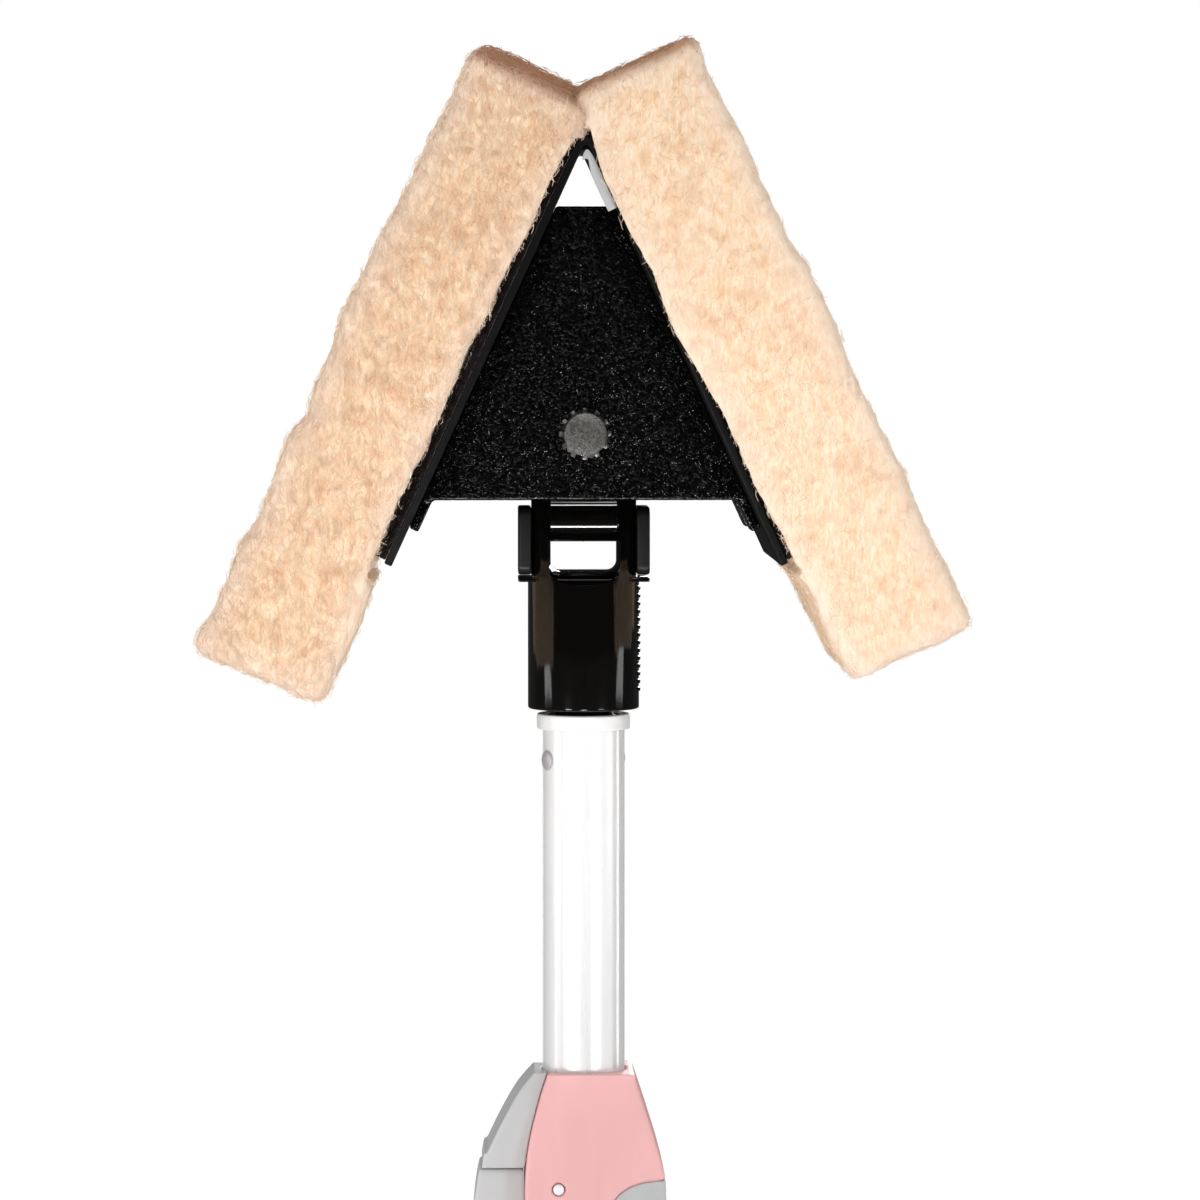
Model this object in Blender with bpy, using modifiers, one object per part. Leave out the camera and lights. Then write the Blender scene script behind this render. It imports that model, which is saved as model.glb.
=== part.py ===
"""Pole sander with a two-pad inside-corner head on a telescopic pole.

Metres, +Z up. The pole's axis is the Z axis and the origin is the centre of the
end cap's underside. X runs across the two pads and Y along the corner that they
sand. The head pitches on a cross pin along X and tips on a bolt along Y, the
upper tube slides in the lower one, and a cam lever on the clamp locks it.
"""

import math

import bmesh
import bpy
from mathutils import Matrix, Vector

# ---------------------------------------------------------------- clearances
GAP = 0.0003
CUT_MARGIN = 0.002
ROUND_SEGMENTS = 32

# ---------------------------------------------------------------------- pole
LOWER_TUBE_RADIUS = 0.0159
LOWER_TUBE_WALL = 0.0015
LOWER_TUBE_BOTTOM = 0.0065
LOWER_TUBE_TOP = 0.3720
UPPER_TUBE_RADIUS = 0.0127
UPPER_TUBE_WALL = 0.0012
UPPER_TUBE_BOTTOM = 0.1400
UPPER_TUBE_TOP = 0.5000
END_CAP_RADIUS = 0.0182
END_CAP_RIM = 0.0062
END_CAP_PLUG_TOP = 0.0280
GRIP_BOTTOM = 0.0100
GRIP_TOP = 0.1680
GRIP_RADIUS = 0.0196
GRIP_COLLAR = 0.0012
BUSH_HEIGHT = 0.0260
BUSH_FOOT = 0.0030
RING_BOTTOM = 0.4954
RING_HEIGHT = 0.0049
RING_RADIUS = 0.0144
TIP_RADIUS = 0.0095
TIP_TOP = 0.5290
TIP_SHANK_BOTTOM = 0.4700
TIP_RIVET_Z = 0.4861
TIP_RIVET_TURN = math.radians(62.0)
TIP_RIVET_RADIUS = 0.0022
TIP_RIVET_HEAD_RADIUS = 0.0031
TIP_RIVET_HEAD_HEIGHT = 0.0010

# --------------------------------------------------------------------- clamp
CLAMP_TOP = 0.3900
CLAMP_BOTTOM = 0.3020
CLAMP_NECK_BOTTOM = LOWER_TUBE_TOP + GAP
CLAMP_HALF_DEPTH = 0.0205
LINER_HEIGHT = 0.0120
LEVER_HALF_WIDTH = 0.0125
LEVER_PIN_X = -0.0245
LEVER_PIN_Z = 0.3120
LEVER_PIN_RADIUS = 0.0025
LUG_THICKNESS = 0.0040
SHOULDER_BORE = 0.0136
CLAMP_STUD_X = -0.0080
CLAMP_STUD_Z = 0.3552
CLAMP_STUD_RADIUS = 0.0017

# -------------------------------------------------------------- swivel joint
SLEEVE_RADIUS = 0.01715
SLEEVE_BOTTOM = 0.5018
SLOT_WIDTH = 0.0205
SLOT_FLOOR = 0.5443
SLOT_CORNER = 0.0030
PIVOT_Z = 0.5602
ARM_TIP_RADIUS = 0.0090
ARM_FACE_X = 0.0161
PIN_RADIUS = 0.0030
BARREL_RADIUS = 0.0069
TONGUE_HALF_DEPTH = 0.0070
PIVOT_CAP_THICKNESS = 0.0036
PIVOT_CAP_BOTTOM = 0.5434
PIVOT_CAP_TOP = 0.5643
PIVOT_CAP_HALF_DEPTH = 0.0105
LEDGE_HEIGHT = 0.0014

# ---------------------------------------------------------------------- head
HALF_ANGLE = math.radians(24.6)
PLATE_APEX_Z = 0.6810
PLATE_THICKNESS = 0.0022
PLATE_BEND_RADIUS = 0.0037
PLATE_LEG = 0.1455
PLATE_HALF_DEPTH = 0.0470
TAPE_THICKNESS = 0.0017
TAPE_START = 0.0070
TAPE_HALF_DEPTH = 0.0455
PAD_START = -0.0095
PAD_LENGTH = 0.1980
PAD_THICKNESS = 0.0410
PAD_HALF_DEPTH = 0.0500
PAD_ROUND = 0.0080
WEB_OUTER_Y = 0.0280
WEB_THICKNESS = 0.0026
WEB_BOTTOM = 0.5669
WEB_TOP = 0.6557
FLANGE_THICKNESS = 0.0030
FLANGE_DEPTH = 0.0190
FLANGE_BOTTOM = 0.5585
FLANGE_TOP = 0.6480
RIVET_RADIUS = 0.0020
RIVET_HEAD_RADIUS = 0.0038
RIVET_HEAD_HEIGHT = 0.0014
RIVET_Y = 0.0170
RIVET_HEIGHTS = (0.5760, 0.6260)

# ---------------------------------------------------------------- pivot bolt
BOLT_Z = 0.5870
BOLT_RADIUS = 0.0040
BOLT_HEAD_RADIUS = 0.0075
BOLT_HEAD_HEIGHT = 0.0053
BOLT_HEAD_TURN = math.radians(15.0)
BOLT_END_Y = 0.0405
STAR_WASHER_RADIUS = 0.0080
STAR_WASHER_ROOT = 0.0066
STAR_WASHER_THICKNESS = 0.0009
STAR_WASHER_TEETH = 12
FLAT_WASHER_RADIUS = 0.0080
FLAT_WASHER_THICKNESS = 0.0016
NUT_HEIGHT = 0.0080
SPACER_RADIUS = 0.0066

COLLECTION_NAME = "pole_sander"


# ------------------------------------------------------------- scene helpers
def clear_scene():
    """Remove the objects that a new file starts with."""
    for item in list(bpy.data.objects):
        bpy.data.objects.remove(item, do_unlink=True)


def make_collection(name):
    """A collection linked to the scene."""
    collection = bpy.data.collections.new(name)
    bpy.context.scene.collection.children.link(collection)
    return collection


def make_material(name, color, roughness, metallic=0.0):
    """A plain Principled material."""
    material = bpy.data.materials.new(name)
    material.use_nodes = True
    shader = material.node_tree.nodes["Principled BSDF"]
    shader.inputs["Base Color"].default_value = (*color, 1.0)
    shader.inputs["Roughness"].default_value = roughness
    shader.inputs["Metallic"].default_value = metallic
    return material


class Shop:
    """Makes objects and files them in the part's or the cutters' collection."""

    def __init__(self):
        self.parts = make_collection(COLLECTION_NAME)
        self.cutters = make_collection("cutters")

    def add(self, name, mesh, material=None, parent=None):
        """A finished node; its mesh is given in world coordinates."""
        item = bpy.data.objects.new(name, mesh)
        self.parts.objects.link(item)
        if material:
            mesh.materials.clear()
            mesh.materials.append(make_material(name, *material))
        if parent:
            mesh.transform(Matrix.Translation(-parent.location))
            item.parent = parent
        return item

    def cutter(self, name, mesh):
        """A wire object that only cuts or guides."""
        item = bpy.data.objects.new(name, mesh)
        item.hide_render = True
        item.display_type = 'WIRE'
        self.cutters.objects.link(item)
        return item

    def joint(self, name, location):
        """An empty on a joint's axis, which its moving pieces hang from."""
        empty = bpy.data.objects.new(name, None)
        empty.empty_display_size = 0.02
        empty.location = location
        self.parts.objects.link(empty)
        return empty


def combine(target, tool, operation='DIFFERENCE'):
    """Cut, join or intersect two objects, and follow the parent's place."""
    if target.parent:
        tool.parent = target.parent
        tool.data.transform(Matrix.Translation(-target.parent.location))
    modifier = target.modifiers.new(f"{operation.lower()}_{tool.name}", 'BOOLEAN')
    modifier.operation = operation
    modifier.solver = 'EXACT'
    modifier.object = tool


def bevel(item, width, segments=2, angle=35.0):
    """Round an object's sharp edges."""
    modifier = item.modifiers.new("rounded_edges", 'BEVEL')
    modifier.width = width
    modifier.segments = segments
    modifier.limit_method = 'ANGLE'
    modifier.angle_limit = math.radians(angle)


def shade(item, angle=40.0):
    """Smooth a round piece, but keep its sharp edges."""
    item.data.shade_smooth()
    item.data.set_sharp_from_angle(angle=math.radians(angle))


# --------------------------------------------------------------- mesh makers
def box_mesh(name, low, high):
    """A box between two corners."""
    bm = bmesh.new()
    bmesh.ops.create_cube(bm, size=1.0)
    low = Vector(low)
    high = Vector(high)
    bmesh.ops.scale(bm, vec=high - low, verts=bm.verts)
    bmesh.ops.translate(bm, vec=(low + high) / 2, verts=bm.verts)
    return finish_mesh(bm, name)


def cylinder_mesh(name, start, end, radius, segments=ROUND_SEGMENTS, end_radius=None, turn=0.0):
    """A cylinder, prism or cone between two points."""
    start = Vector(start)
    end = Vector(end)
    axis = end - start
    bm = bmesh.new()
    bmesh.ops.create_cone(bm, cap_ends=True, segments=segments, radius1=radius,
                          radius2=radius if end_radius is None else end_radius,
                          depth=axis.length)
    bmesh.ops.rotate(bm, cent=(0, 0, 0), matrix=Matrix.Rotation(turn, 3, 'Z'), verts=bm.verts)
    aim = axis.to_track_quat('Z', 'Y').to_matrix()
    bmesh.ops.rotate(bm, cent=(0, 0, 0), matrix=aim, verts=bm.verts)
    bmesh.ops.translate(bm, vec=(start + end) / 2, verts=bm.verts)
    return finish_mesh(bm, name)


def finish_mesh(bm, name):
    """Write a bmesh out as a mesh."""
    mesh = bpy.data.meshes.new(name)
    bm.to_mesh(mesh)
    bm.free()
    return mesh


def evaluated_mesh(item):
    """The mesh of an object with its modifiers or curve worked out."""
    bpy.context.view_layer.update()
    graph = bpy.context.evaluated_depsgraph_get()
    mesh = bpy.data.meshes.new_from_object(item.evaluated_get(graph))
    mesh.transform(item.matrix_world)
    return mesh


def turned_mesh(name, profile):
    """Turn a profile of (radius, z) points about a vertical axis.

    The profile runs down the outer side and back up the bore, as a closed loop.
    """
    bm = bmesh.new()
    points = [bm.verts.new((radius, 0.0, z)) for radius, z in profile]
    for first, second in zip(points, points[1:] + points[:1]):
        bm.edges.new((first, second))
    holder = bpy.data.objects.new(f"{name}_profile", finish_mesh(bm, name))
    bpy.context.scene.collection.objects.link(holder)
    screw = holder.modifiers.new("turn", 'SCREW')
    screw.axis = 'Z'
    screw.steps = ROUND_SEGMENTS
    screw.render_steps = ROUND_SEGMENTS
    screw.use_merge_vertices = True
    screw.merge_threshold = 0.00001
    mesh = evaluated_mesh(holder)
    bpy.data.objects.remove(holder, do_unlink=True)
    mesh.name = name
    return mesh


def outline_mesh(name, points, low, high, plane='XZ'):
    """Extrude a flat outline between two depths, along Y, or along X for 'YZ'."""
    curve = bpy.data.curves.new(f"{name}_outline", 'CURVE')
    curve.dimensions = '2D'
    curve.fill_mode = 'BOTH'
    curve.extrude = (high - low) / 2
    spline = curve.splines.new('POLY')
    spline.points.add(len(points) - 1)
    for point, (across, up) in zip(spline.points, points):
        point.co = (across, up, 0.0, 1.0)
    spline.use_cyclic_u = True
    holder = bpy.data.objects.new(f"{name}_outline", curve)
    bpy.context.scene.collection.objects.link(holder)
    middle = (low + high) / 2
    stand = Matrix.Rotation(math.pi / 2, 4, 'X')
    if plane == 'XZ':
        holder.matrix_world = Matrix.Translation((0.0, middle, 0.0)) @ stand
    else:
        turn = Matrix.Rotation(math.pi / 2, 4, 'Z')
        holder.matrix_world = Matrix.Translation((middle, 0.0, 0.0)) @ turn @ stand
    mesh = evaluated_mesh(holder)
    bpy.data.objects.remove(holder, do_unlink=True)
    bm = bmesh.new()
    bm.from_mesh(mesh)
    bmesh.ops.remove_doubles(bm, verts=bm.verts, dist=0.000001)
    bmesh.ops.dissolve_limit(bm, angle_limit=0.001, verts=bm.verts, edges=bm.edges)
    bmesh.ops.recalc_face_normals(bm, faces=bm.faces)
    bm.to_mesh(mesh)
    bm.free()
    mesh.name = name
    return mesh


def arc(centre, radius, start, end, steps):
    """Points along an arc, with its angles in degrees."""
    points = []
    for step in range(steps + 1):
        angle = math.radians(start + (end - start) * step / steps)
        points.append((centre[0] + radius * math.cos(angle),
                       centre[1] + radius * math.sin(angle)))
    return points


def mirrored(points):
    """An outline's other half, in reverse order, mirrored in x."""
    return [(-x, z) for x, z in reversed(points)]


# ----------------------------------------------------------------- the V frame
def leg_point(side, along, out):
    """A point of a leg's frame: along the leg from the sharp outer apex, and out from it."""
    x = math.sin(HALF_ANGLE) * along + math.cos(HALF_ANGLE) * out
    z = PLATE_APEX_Z - math.cos(HALF_ANGLE) * along + math.sin(HALF_ANGLE) * out
    return side * x, z


def leg_box(name, side, along, out, half_depth):
    """A box that lies along a leg, given by its spans along, out and deep."""
    corners = [leg_point(side, along[0], out[0]), leg_point(side, along[1], out[0]),
               leg_point(side, along[1], out[1]), leg_point(side, along[0], out[1])]
    return outline_mesh(name, corners, -half_depth, half_depth)


def inner_half_width(z):
    """Half the free width between the legs' inner faces at a height."""
    inner_apex = PLATE_APEX_Z - PLATE_THICKNESS / math.sin(HALF_ANGLE)
    return (inner_apex - z) * math.tan(HALF_ANGLE)


def leg_along(z, out):
    """How far along the leg a height lies, on a line that is out from the leg."""
    return (PLATE_APEX_Z + math.sin(HALF_ANGLE) * out - z) / math.cos(HALF_ANGLE)


# --------------------------------------------------------------- lower pole
def build_end_cap(shop):
    """Plastic plug with a rim that the pole stands on."""
    plug = LOWER_TUBE_RADIUS - LOWER_TUBE_WALL - GAP
    profile = [(0.0, END_CAP_PLUG_TOP), (plug - 0.0008, END_CAP_PLUG_TOP),
               (plug, END_CAP_PLUG_TOP - 0.0012), (plug, END_CAP_RIM),
               (END_CAP_RADIUS - 0.0008, END_CAP_RIM),
               (END_CAP_RADIUS, END_CAP_RIM - 0.0008),
               (END_CAP_RADIUS, 0.0020), (END_CAP_RADIUS - 0.0020, 0.0), (0.0, 0.0)]
    item = shop.add("end_cap", turned_mesh("end_cap", profile),
                    ((0.03, 0.03, 0.032), 0.55))
    shade(item)


def build_lower_tube(shop):
    """Outer tube of the telescopic pole."""
    inner = LOWER_TUBE_RADIUS - LOWER_TUBE_WALL
    profile = [(LOWER_TUBE_RADIUS, LOWER_TUBE_TOP), (LOWER_TUBE_RADIUS, LOWER_TUBE_BOTTOM),
               (inner, LOWER_TUBE_BOTTOM), (inner, LOWER_TUBE_TOP)]
    item = shop.add("lower_tube", turned_mesh("lower_tube", profile),
                    ((0.78, 0.78, 0.79), 0.32, 0.9))
    shade(item)


def build_hand_grip(shop):
    """Soft sleeve over the lower tube, with a raised collar at each end."""
    bore = LOWER_TUBE_RADIUS + GAP
    collar = GRIP_RADIUS + GRIP_COLLAR
    profile = [(GRIP_RADIUS - 0.0010, GRIP_TOP), (collar, GRIP_TOP - 0.0016),
               (collar, GRIP_TOP - 0.0060), (GRIP_RADIUS, GRIP_TOP - 0.0085),
               (GRIP_RADIUS, GRIP_BOTTOM + 0.0085), (collar, GRIP_BOTTOM + 0.0060),
               (collar, GRIP_BOTTOM + 0.0016), (GRIP_RADIUS - 0.0010, GRIP_BOTTOM),
               (bore, GRIP_BOTTOM), (bore, GRIP_TOP)]
    item = shop.add("hand_grip", turned_mesh("hand_grip", profile),
                    ((0.04, 0.04, 0.042), 0.8))
    shade(item)


# --------------------------------------------------------------------- clamp
def clamp_front_outline():
    """The clamp body's outline from the front, from the neck clockwise."""
    right = [(0.0153, CLAMP_TOP), (0.0199, 0.3758), (0.0238, 0.3627), (0.0248, 0.3555),
             (0.0248, 0.3300), (0.0232, 0.3160), (0.0198, 0.3065), (0.0188, CLAMP_BOTTOM)]
    left = [(-0.0184, CLAMP_BOTTOM), (-0.0184, 0.3555), (-0.0178, 0.3640),
            (-0.0163, 0.3728), (-0.0136, 0.3830), (-0.0114, 0.3895), (-0.0112, CLAMP_TOP)]
    return right + left


def clamp_side_outline():
    """The clamp body's outline from the side."""
    half = [(0.0156, CLAMP_TOP), (0.0178, 0.3800), (0.0198, 0.3690),
            (CLAMP_HALF_DEPTH, 0.3560), (CLAMP_HALF_DEPTH, 0.3300),
            (0.0196, 0.3140), (0.0182, CLAMP_BOTTOM)]
    return half + mirrored(half)


def cut_tube_bores(shop, item):
    """Bore a clamp piece for both tubes."""
    lower = cylinder_mesh("bore", (0, 0, CLAMP_BOTTOM - 0.01), (0, 0, CLAMP_NECK_BOTTOM),
                          LOWER_TUBE_RADIUS + GAP)
    upper = cylinder_mesh("bore", (0, 0, CLAMP_BOTTOM), (0, 0, CLAMP_TOP + 0.01),
                          UPPER_TUBE_RADIUS + GAP)
    combine(item, shop.cutter(f"{item.name}_lower_bore", lower))
    combine(item, shop.cutter(f"{item.name}_upper_bore", upper))


def build_clamp_body(shop):
    """Moulded shell of the clamp, with two lugs for the lever's pin."""
    shell = outline_mesh("clamp_body", clamp_front_outline(), -0.03, 0.03)
    item = shop.add("clamp_body", shell, ((0.93, 0.53, 0.52), 0.38))
    side = outline_mesh("side", clamp_side_outline(), -0.04, 0.04, 'YZ')
    combine(item, shop.cutter("clamp_side_form", side), 'INTERSECT')
    bevel(item, 0.0022, 3, 25.0)
    lug_outline = [(-0.0176, 0.3045), (-0.0176, 0.3220), (-0.0205, 0.3215)]
    lug_outline += arc((LEVER_PIN_X, LEVER_PIN_Z), 0.0052, 60, 250, 10)
    for side_name, side_sign in (("front", -1), ("rear", 1)):
        near = side_sign * (LEVER_HALF_WIDTH + GAP)
        far = side_sign * (LEVER_HALF_WIDTH + GAP + LUG_THICKNESS)
        lug = outline_mesh("lug", lug_outline, min(near, far), max(near, far))
        combine(item, shop.cutter(f"clamp_lug_{side_name}", lug), 'UNION')
    cut_tube_bores(shop, item)
    reach = LEVER_HALF_WIDTH + LUG_THICKNESS + CUT_MARGIN
    pin_hole = cylinder_mesh("hole", (LEVER_PIN_X, -reach, LEVER_PIN_Z),
                             (LEVER_PIN_X, reach, LEVER_PIN_Z), LEVER_PIN_RADIUS + GAP, 20)
    combine(item, shop.cutter("clamp_pin_hole", pin_hole))
    stud_hole = cylinder_mesh("hole", (CLAMP_STUD_X, -0.03, CLAMP_STUD_Z),
                              (CLAMP_STUD_X, -0.0180, CLAMP_STUD_Z),
                              CLAMP_STUD_RADIUS + GAP, 16)
    combine(item, shop.cutter("clamp_stud_hole", stud_hole))
    inset = inset_outline(GAP)
    pocket = outline_mesh("pocket", inset, -0.0150, 0.0150)
    combine(item, shop.cutter("clamp_inset_pocket", pocket))
    shade(item)


def inset_outline(grow=0.0):
    """The soft inset on the clamp's right side, from the front."""
    inner = 0.0222 - grow
    return [(0.0300, 0.3515 + grow), (inner, 0.3515 + grow), (inner, 0.3165 - grow),
            (0.0300, 0.3165 - grow)]


def build_clamp_inset(shop):
    """Soft thumb pad let into the clamp's right side."""
    outline = [(0.0222, 0.3515), (0.0222, 0.3165), (0.0244, 0.3165), (0.0252, 0.3200),
               (0.0254, 0.3300), (0.0254, 0.3450), (0.0248, 0.3515)]
    item = shop.add("clamp_inset", outline_mesh("clamp_inset", outline, -0.0147, 0.0147),
                    ((0.56, 0.56, 0.56), 0.7))
    bevel(item, 0.0006, 2)


def build_clamp_shoulder(shop):
    """Grey shoulder cover above the lever, on the clamp's left side."""
    outline = [(-0.0117 - GAP, CLAMP_TOP), (-0.0139 - GAP, 0.3830), (-0.0166 - GAP, 0.3728),
               (-0.0181 - GAP, 0.3640), (-0.0183 - GAP, 0.3612),
               (-0.0316, 0.3612), (-0.0305, 0.3658), (-0.0260, 0.3745),
               (-0.0206, 0.3838), (-0.0163, 0.3893), (-0.0156, CLAMP_TOP)]
    shell = outline_mesh("clamp_shoulder", outline, -0.03, 0.03)
    item = shop.add("clamp_shoulder", shell, ((0.56, 0.56, 0.56), 0.5))
    half = [(0.0118, CLAMP_TOP), (0.0150, 0.3800), (0.0158, 0.3700), (0.0160, 0.3600)]
    side = outline_mesh("side", half + mirrored(half), -0.04, 0.0, 'YZ')
    combine(item, shop.cutter("shoulder_side_form", side), 'INTERSECT')
    bevel(item, 0.0016, 3, 25.0)
    bore = cylinder_mesh("bore", (0, 0, CLAMP_STUD_Z), (0, 0, CLAMP_TOP + 0.01), SHOULDER_BORE)
    combine(item, shop.cutter("shoulder_bore", bore))
    shade(item)


def build_clamp_liner(shop):
    """Plain collar that the cam squeezes on the upper tube."""
    inner = UPPER_TUBE_RADIUS + GAP
    outer = LOWER_TUBE_RADIUS - LOWER_TUBE_WALL - GAP
    top = LOWER_TUBE_TOP - 0.0010
    profile = [(outer, top), (outer, top - LINER_HEIGHT), (inner, top - LINER_HEIGHT),
               (inner, top)]
    item = shop.add("clamp_liner", turned_mesh("clamp_liner", profile),
                    ((0.06, 0.06, 0.06), 0.5))
    shade(item)


def build_clamp_stud(shop):
    """Small pin end in the front of the clamp."""
    face = -CLAMP_HALF_DEPTH - 0.0004
    mesh = cylinder_mesh("clamp_stud", (CLAMP_STUD_X, face, CLAMP_STUD_Z),
                         (CLAMP_STUD_X, -0.0183, CLAMP_STUD_Z), CLAMP_STUD_RADIUS, 16)
    item = shop.add("clamp_stud", mesh, ((0.9, 0.9, 0.9), 0.3, 1.0))
    bevel(item, 0.0004, 2)
    shade(item)


def build_lever_pin(shop):
    """Steel pin across the clamp's lugs."""
    reach = LEVER_HALF_WIDTH + LUG_THICKNESS
    mesh = cylinder_mesh("lever_pin", (LEVER_PIN_X, -reach, LEVER_PIN_Z),
                         (LEVER_PIN_X, reach, LEVER_PIN_Z), LEVER_PIN_RADIUS, 20)
    item = shop.add("lever_pin", mesh, ((0.75, 0.75, 0.76), 0.3, 1.0))
    bevel(item, 0.0004, 2)
    shade(item)


def build_cam_lever(shop, joint):
    """Cam lever, hinged at its foot, with its tip under the shoulder."""
    outline = [(-0.0190, 0.3590), (-0.0190, 0.3190)]
    outline += arc((LEVER_PIN_X, LEVER_PIN_Z), 0.0056, -12, -150, 10)
    outline += [(-0.0320, 0.3150), (-0.0338, 0.3300), (-0.0342, 0.3430), (-0.0339, 0.3500),
                (-0.0330, 0.3560), (-0.0314, 0.3590)]
    mesh = outline_mesh("cam_lever", outline, -LEVER_HALF_WIDTH, LEVER_HALF_WIDTH)
    item = shop.add("cam_lever", mesh, ((0.56, 0.56, 0.56), 0.5), joint)
    bevel(item, 0.0018, 3, 25.0)
    reach = LEVER_HALF_WIDTH + CUT_MARGIN
    hole = cylinder_mesh("hole", (LEVER_PIN_X, -reach, LEVER_PIN_Z),
                         (LEVER_PIN_X, reach, LEVER_PIN_Z), LEVER_PIN_RADIUS + GAP, 20)
    combine(item, shop.cutter("lever_pin_hole", hole))
    shade(item)


# --------------------------------------------------------------- upper pole
def build_upper_tube(shop, joint):
    """Inner tube of the pole, with holes for the tip's rivets."""
    inner = UPPER_TUBE_RADIUS - UPPER_TUBE_WALL
    profile = [(UPPER_TUBE_RADIUS, UPPER_TUBE_TOP), (UPPER_TUBE_RADIUS, UPPER_TUBE_BOTTOM),
               (inner, UPPER_TUBE_BOTTOM), (inner, UPPER_TUBE_TOP)]
    item = shop.add("upper_tube", turned_mesh("upper_tube", profile),
                    ((0.86, 0.86, 0.87), 0.28, 0.9), joint)
    combine(item, shop.cutter("tube_rivet_hole", tip_rivet_hole()))
    shade(item)


def tip_rivet_direction():
    """Unit vector from the pole's axis towards the left rivet."""
    return Vector((-math.sin(TIP_RIVET_TURN), -math.cos(TIP_RIVET_TURN), 0.0))


def tip_rivet_hole():
    """One cutter right through the tube and the tip, for both rivets."""
    reach = tip_rivet_direction() * (UPPER_TUBE_RADIUS + CUT_MARGIN)
    middle = Vector((0, 0, TIP_RIVET_Z))
    return cylinder_mesh("hole", middle - reach, middle + reach, TIP_RIVET_RADIUS + GAP, 20)


def build_tip_rivets(shop, joint):
    """Two low round-headed rivets that hold the tip in the tube."""
    middle = Vector((0, 0, TIP_RIVET_Z))
    for name, sign in (("tip_rivet_left", 1), ("tip_rivet_right", -1)):
        out = tip_rivet_direction() * sign
        surface = UPPER_TUBE_RADIUS + GAP
        shank = cylinder_mesh(name, middle + out * 0.0040, middle + out * (surface + 0.0004),
                              TIP_RIVET_RADIUS, 20)
        item = shop.add(name, shank, ((0.8, 0.8, 0.81), 0.3, 1.0), joint)
        head = cylinder_mesh("head", middle + out * surface,
                             middle + out * (surface + TIP_RIVET_HEAD_HEIGHT),
                             TIP_RIVET_HEAD_RADIUS, 20, TIP_RIVET_HEAD_RADIUS * 0.62)
        combine(item, shop.cutter(f"{name}_head", head), 'UNION')
        shade(item)


def build_guide_bush(shop, joint):
    """Plastic bush on the foot of the upper tube, which runs in the lower one."""
    outer = LOWER_TUBE_RADIUS - LOWER_TUBE_WALL - GAP
    seat = UPPER_TUBE_RADIUS + GAP
    bore = UPPER_TUBE_RADIUS - UPPER_TUBE_WALL - 0.0020
    foot = UPPER_TUBE_BOTTOM - GAP
    top = UPPER_TUBE_BOTTOM + BUSH_HEIGHT
    profile = [(outer, top), (outer, foot - BUSH_FOOT), (bore, foot - BUSH_FOOT),
               (bore, foot), (seat, foot), (seat, top)]
    item = shop.add("guide_bush", turned_mesh("guide_bush", profile),
                    ((0.08, 0.08, 0.08), 0.5), joint)
    shade(item)


def build_tip_ring(shop, joint):
    """Rolled collar round the top of the upper tube."""
    inner = UPPER_TUBE_RADIUS + GAP
    top = RING_BOTTOM + RING_HEIGHT
    edge = 0.0009
    profile = [(RING_RADIUS - edge, top), (RING_RADIUS, top - edge),
               (RING_RADIUS, RING_BOTTOM + edge), (RING_RADIUS - edge, RING_BOTTOM),
               (inner, RING_BOTTOM), (inner, top)]
    item = shop.add("tip_ring", turned_mesh("tip_ring", profile),
                    ((0.84, 0.84, 0.85), 0.35, 0.8), joint)
    shade(item)


def build_pole_tip(shop, joint):
    """Tip pressed in the tube, whose upper end the sleeve screws on."""
    shank = UPPER_TUBE_RADIUS - UPPER_TUBE_WALL - GAP
    profile = [(0.0, TIP_TOP), (TIP_RADIUS - 0.0012, TIP_TOP), (TIP_RADIUS, TIP_TOP - 0.0012),
               (TIP_RADIUS, UPPER_TUBE_TOP), (shank, UPPER_TUBE_TOP - 0.0010),
               (shank, TIP_SHANK_BOTTOM), (0.0, TIP_SHANK_BOTTOM)]
    item = shop.add("pole_tip", turned_mesh("pole_tip", profile),
                    ((0.05, 0.05, 0.05), 0.5), joint)
    combine(item, shop.cutter("tip_rivet_hole", tip_rivet_hole()))
    shade(item)


# -------------------------------------------------------------- swivel joint
def arm_side_outline():
    """Sleeve and arms from the side: straight, then drawn in to a round tip."""
    lean = 25.0
    half = [(0.0190, SLEEVE_BOTTOM - 0.01), (0.0190, SLOT_FLOOR - 0.0020)]
    half += arc((0.0, PIVOT_Z), ARM_TIP_RADIUS, lean, 90, 8)
    return half + mirrored(half[:-1])


def slot_outline():
    """The slot between the arms, with round corners at its floor."""
    half_width = SLOT_WIDTH / 2
    points = [(half_width, PIVOT_Z + 0.03)]
    points += arc((half_width - SLOT_CORNER, SLOT_FLOOR + SLOT_CORNER), SLOT_CORNER, 0, -90, 5)
    return points + mirrored(points)


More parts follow.
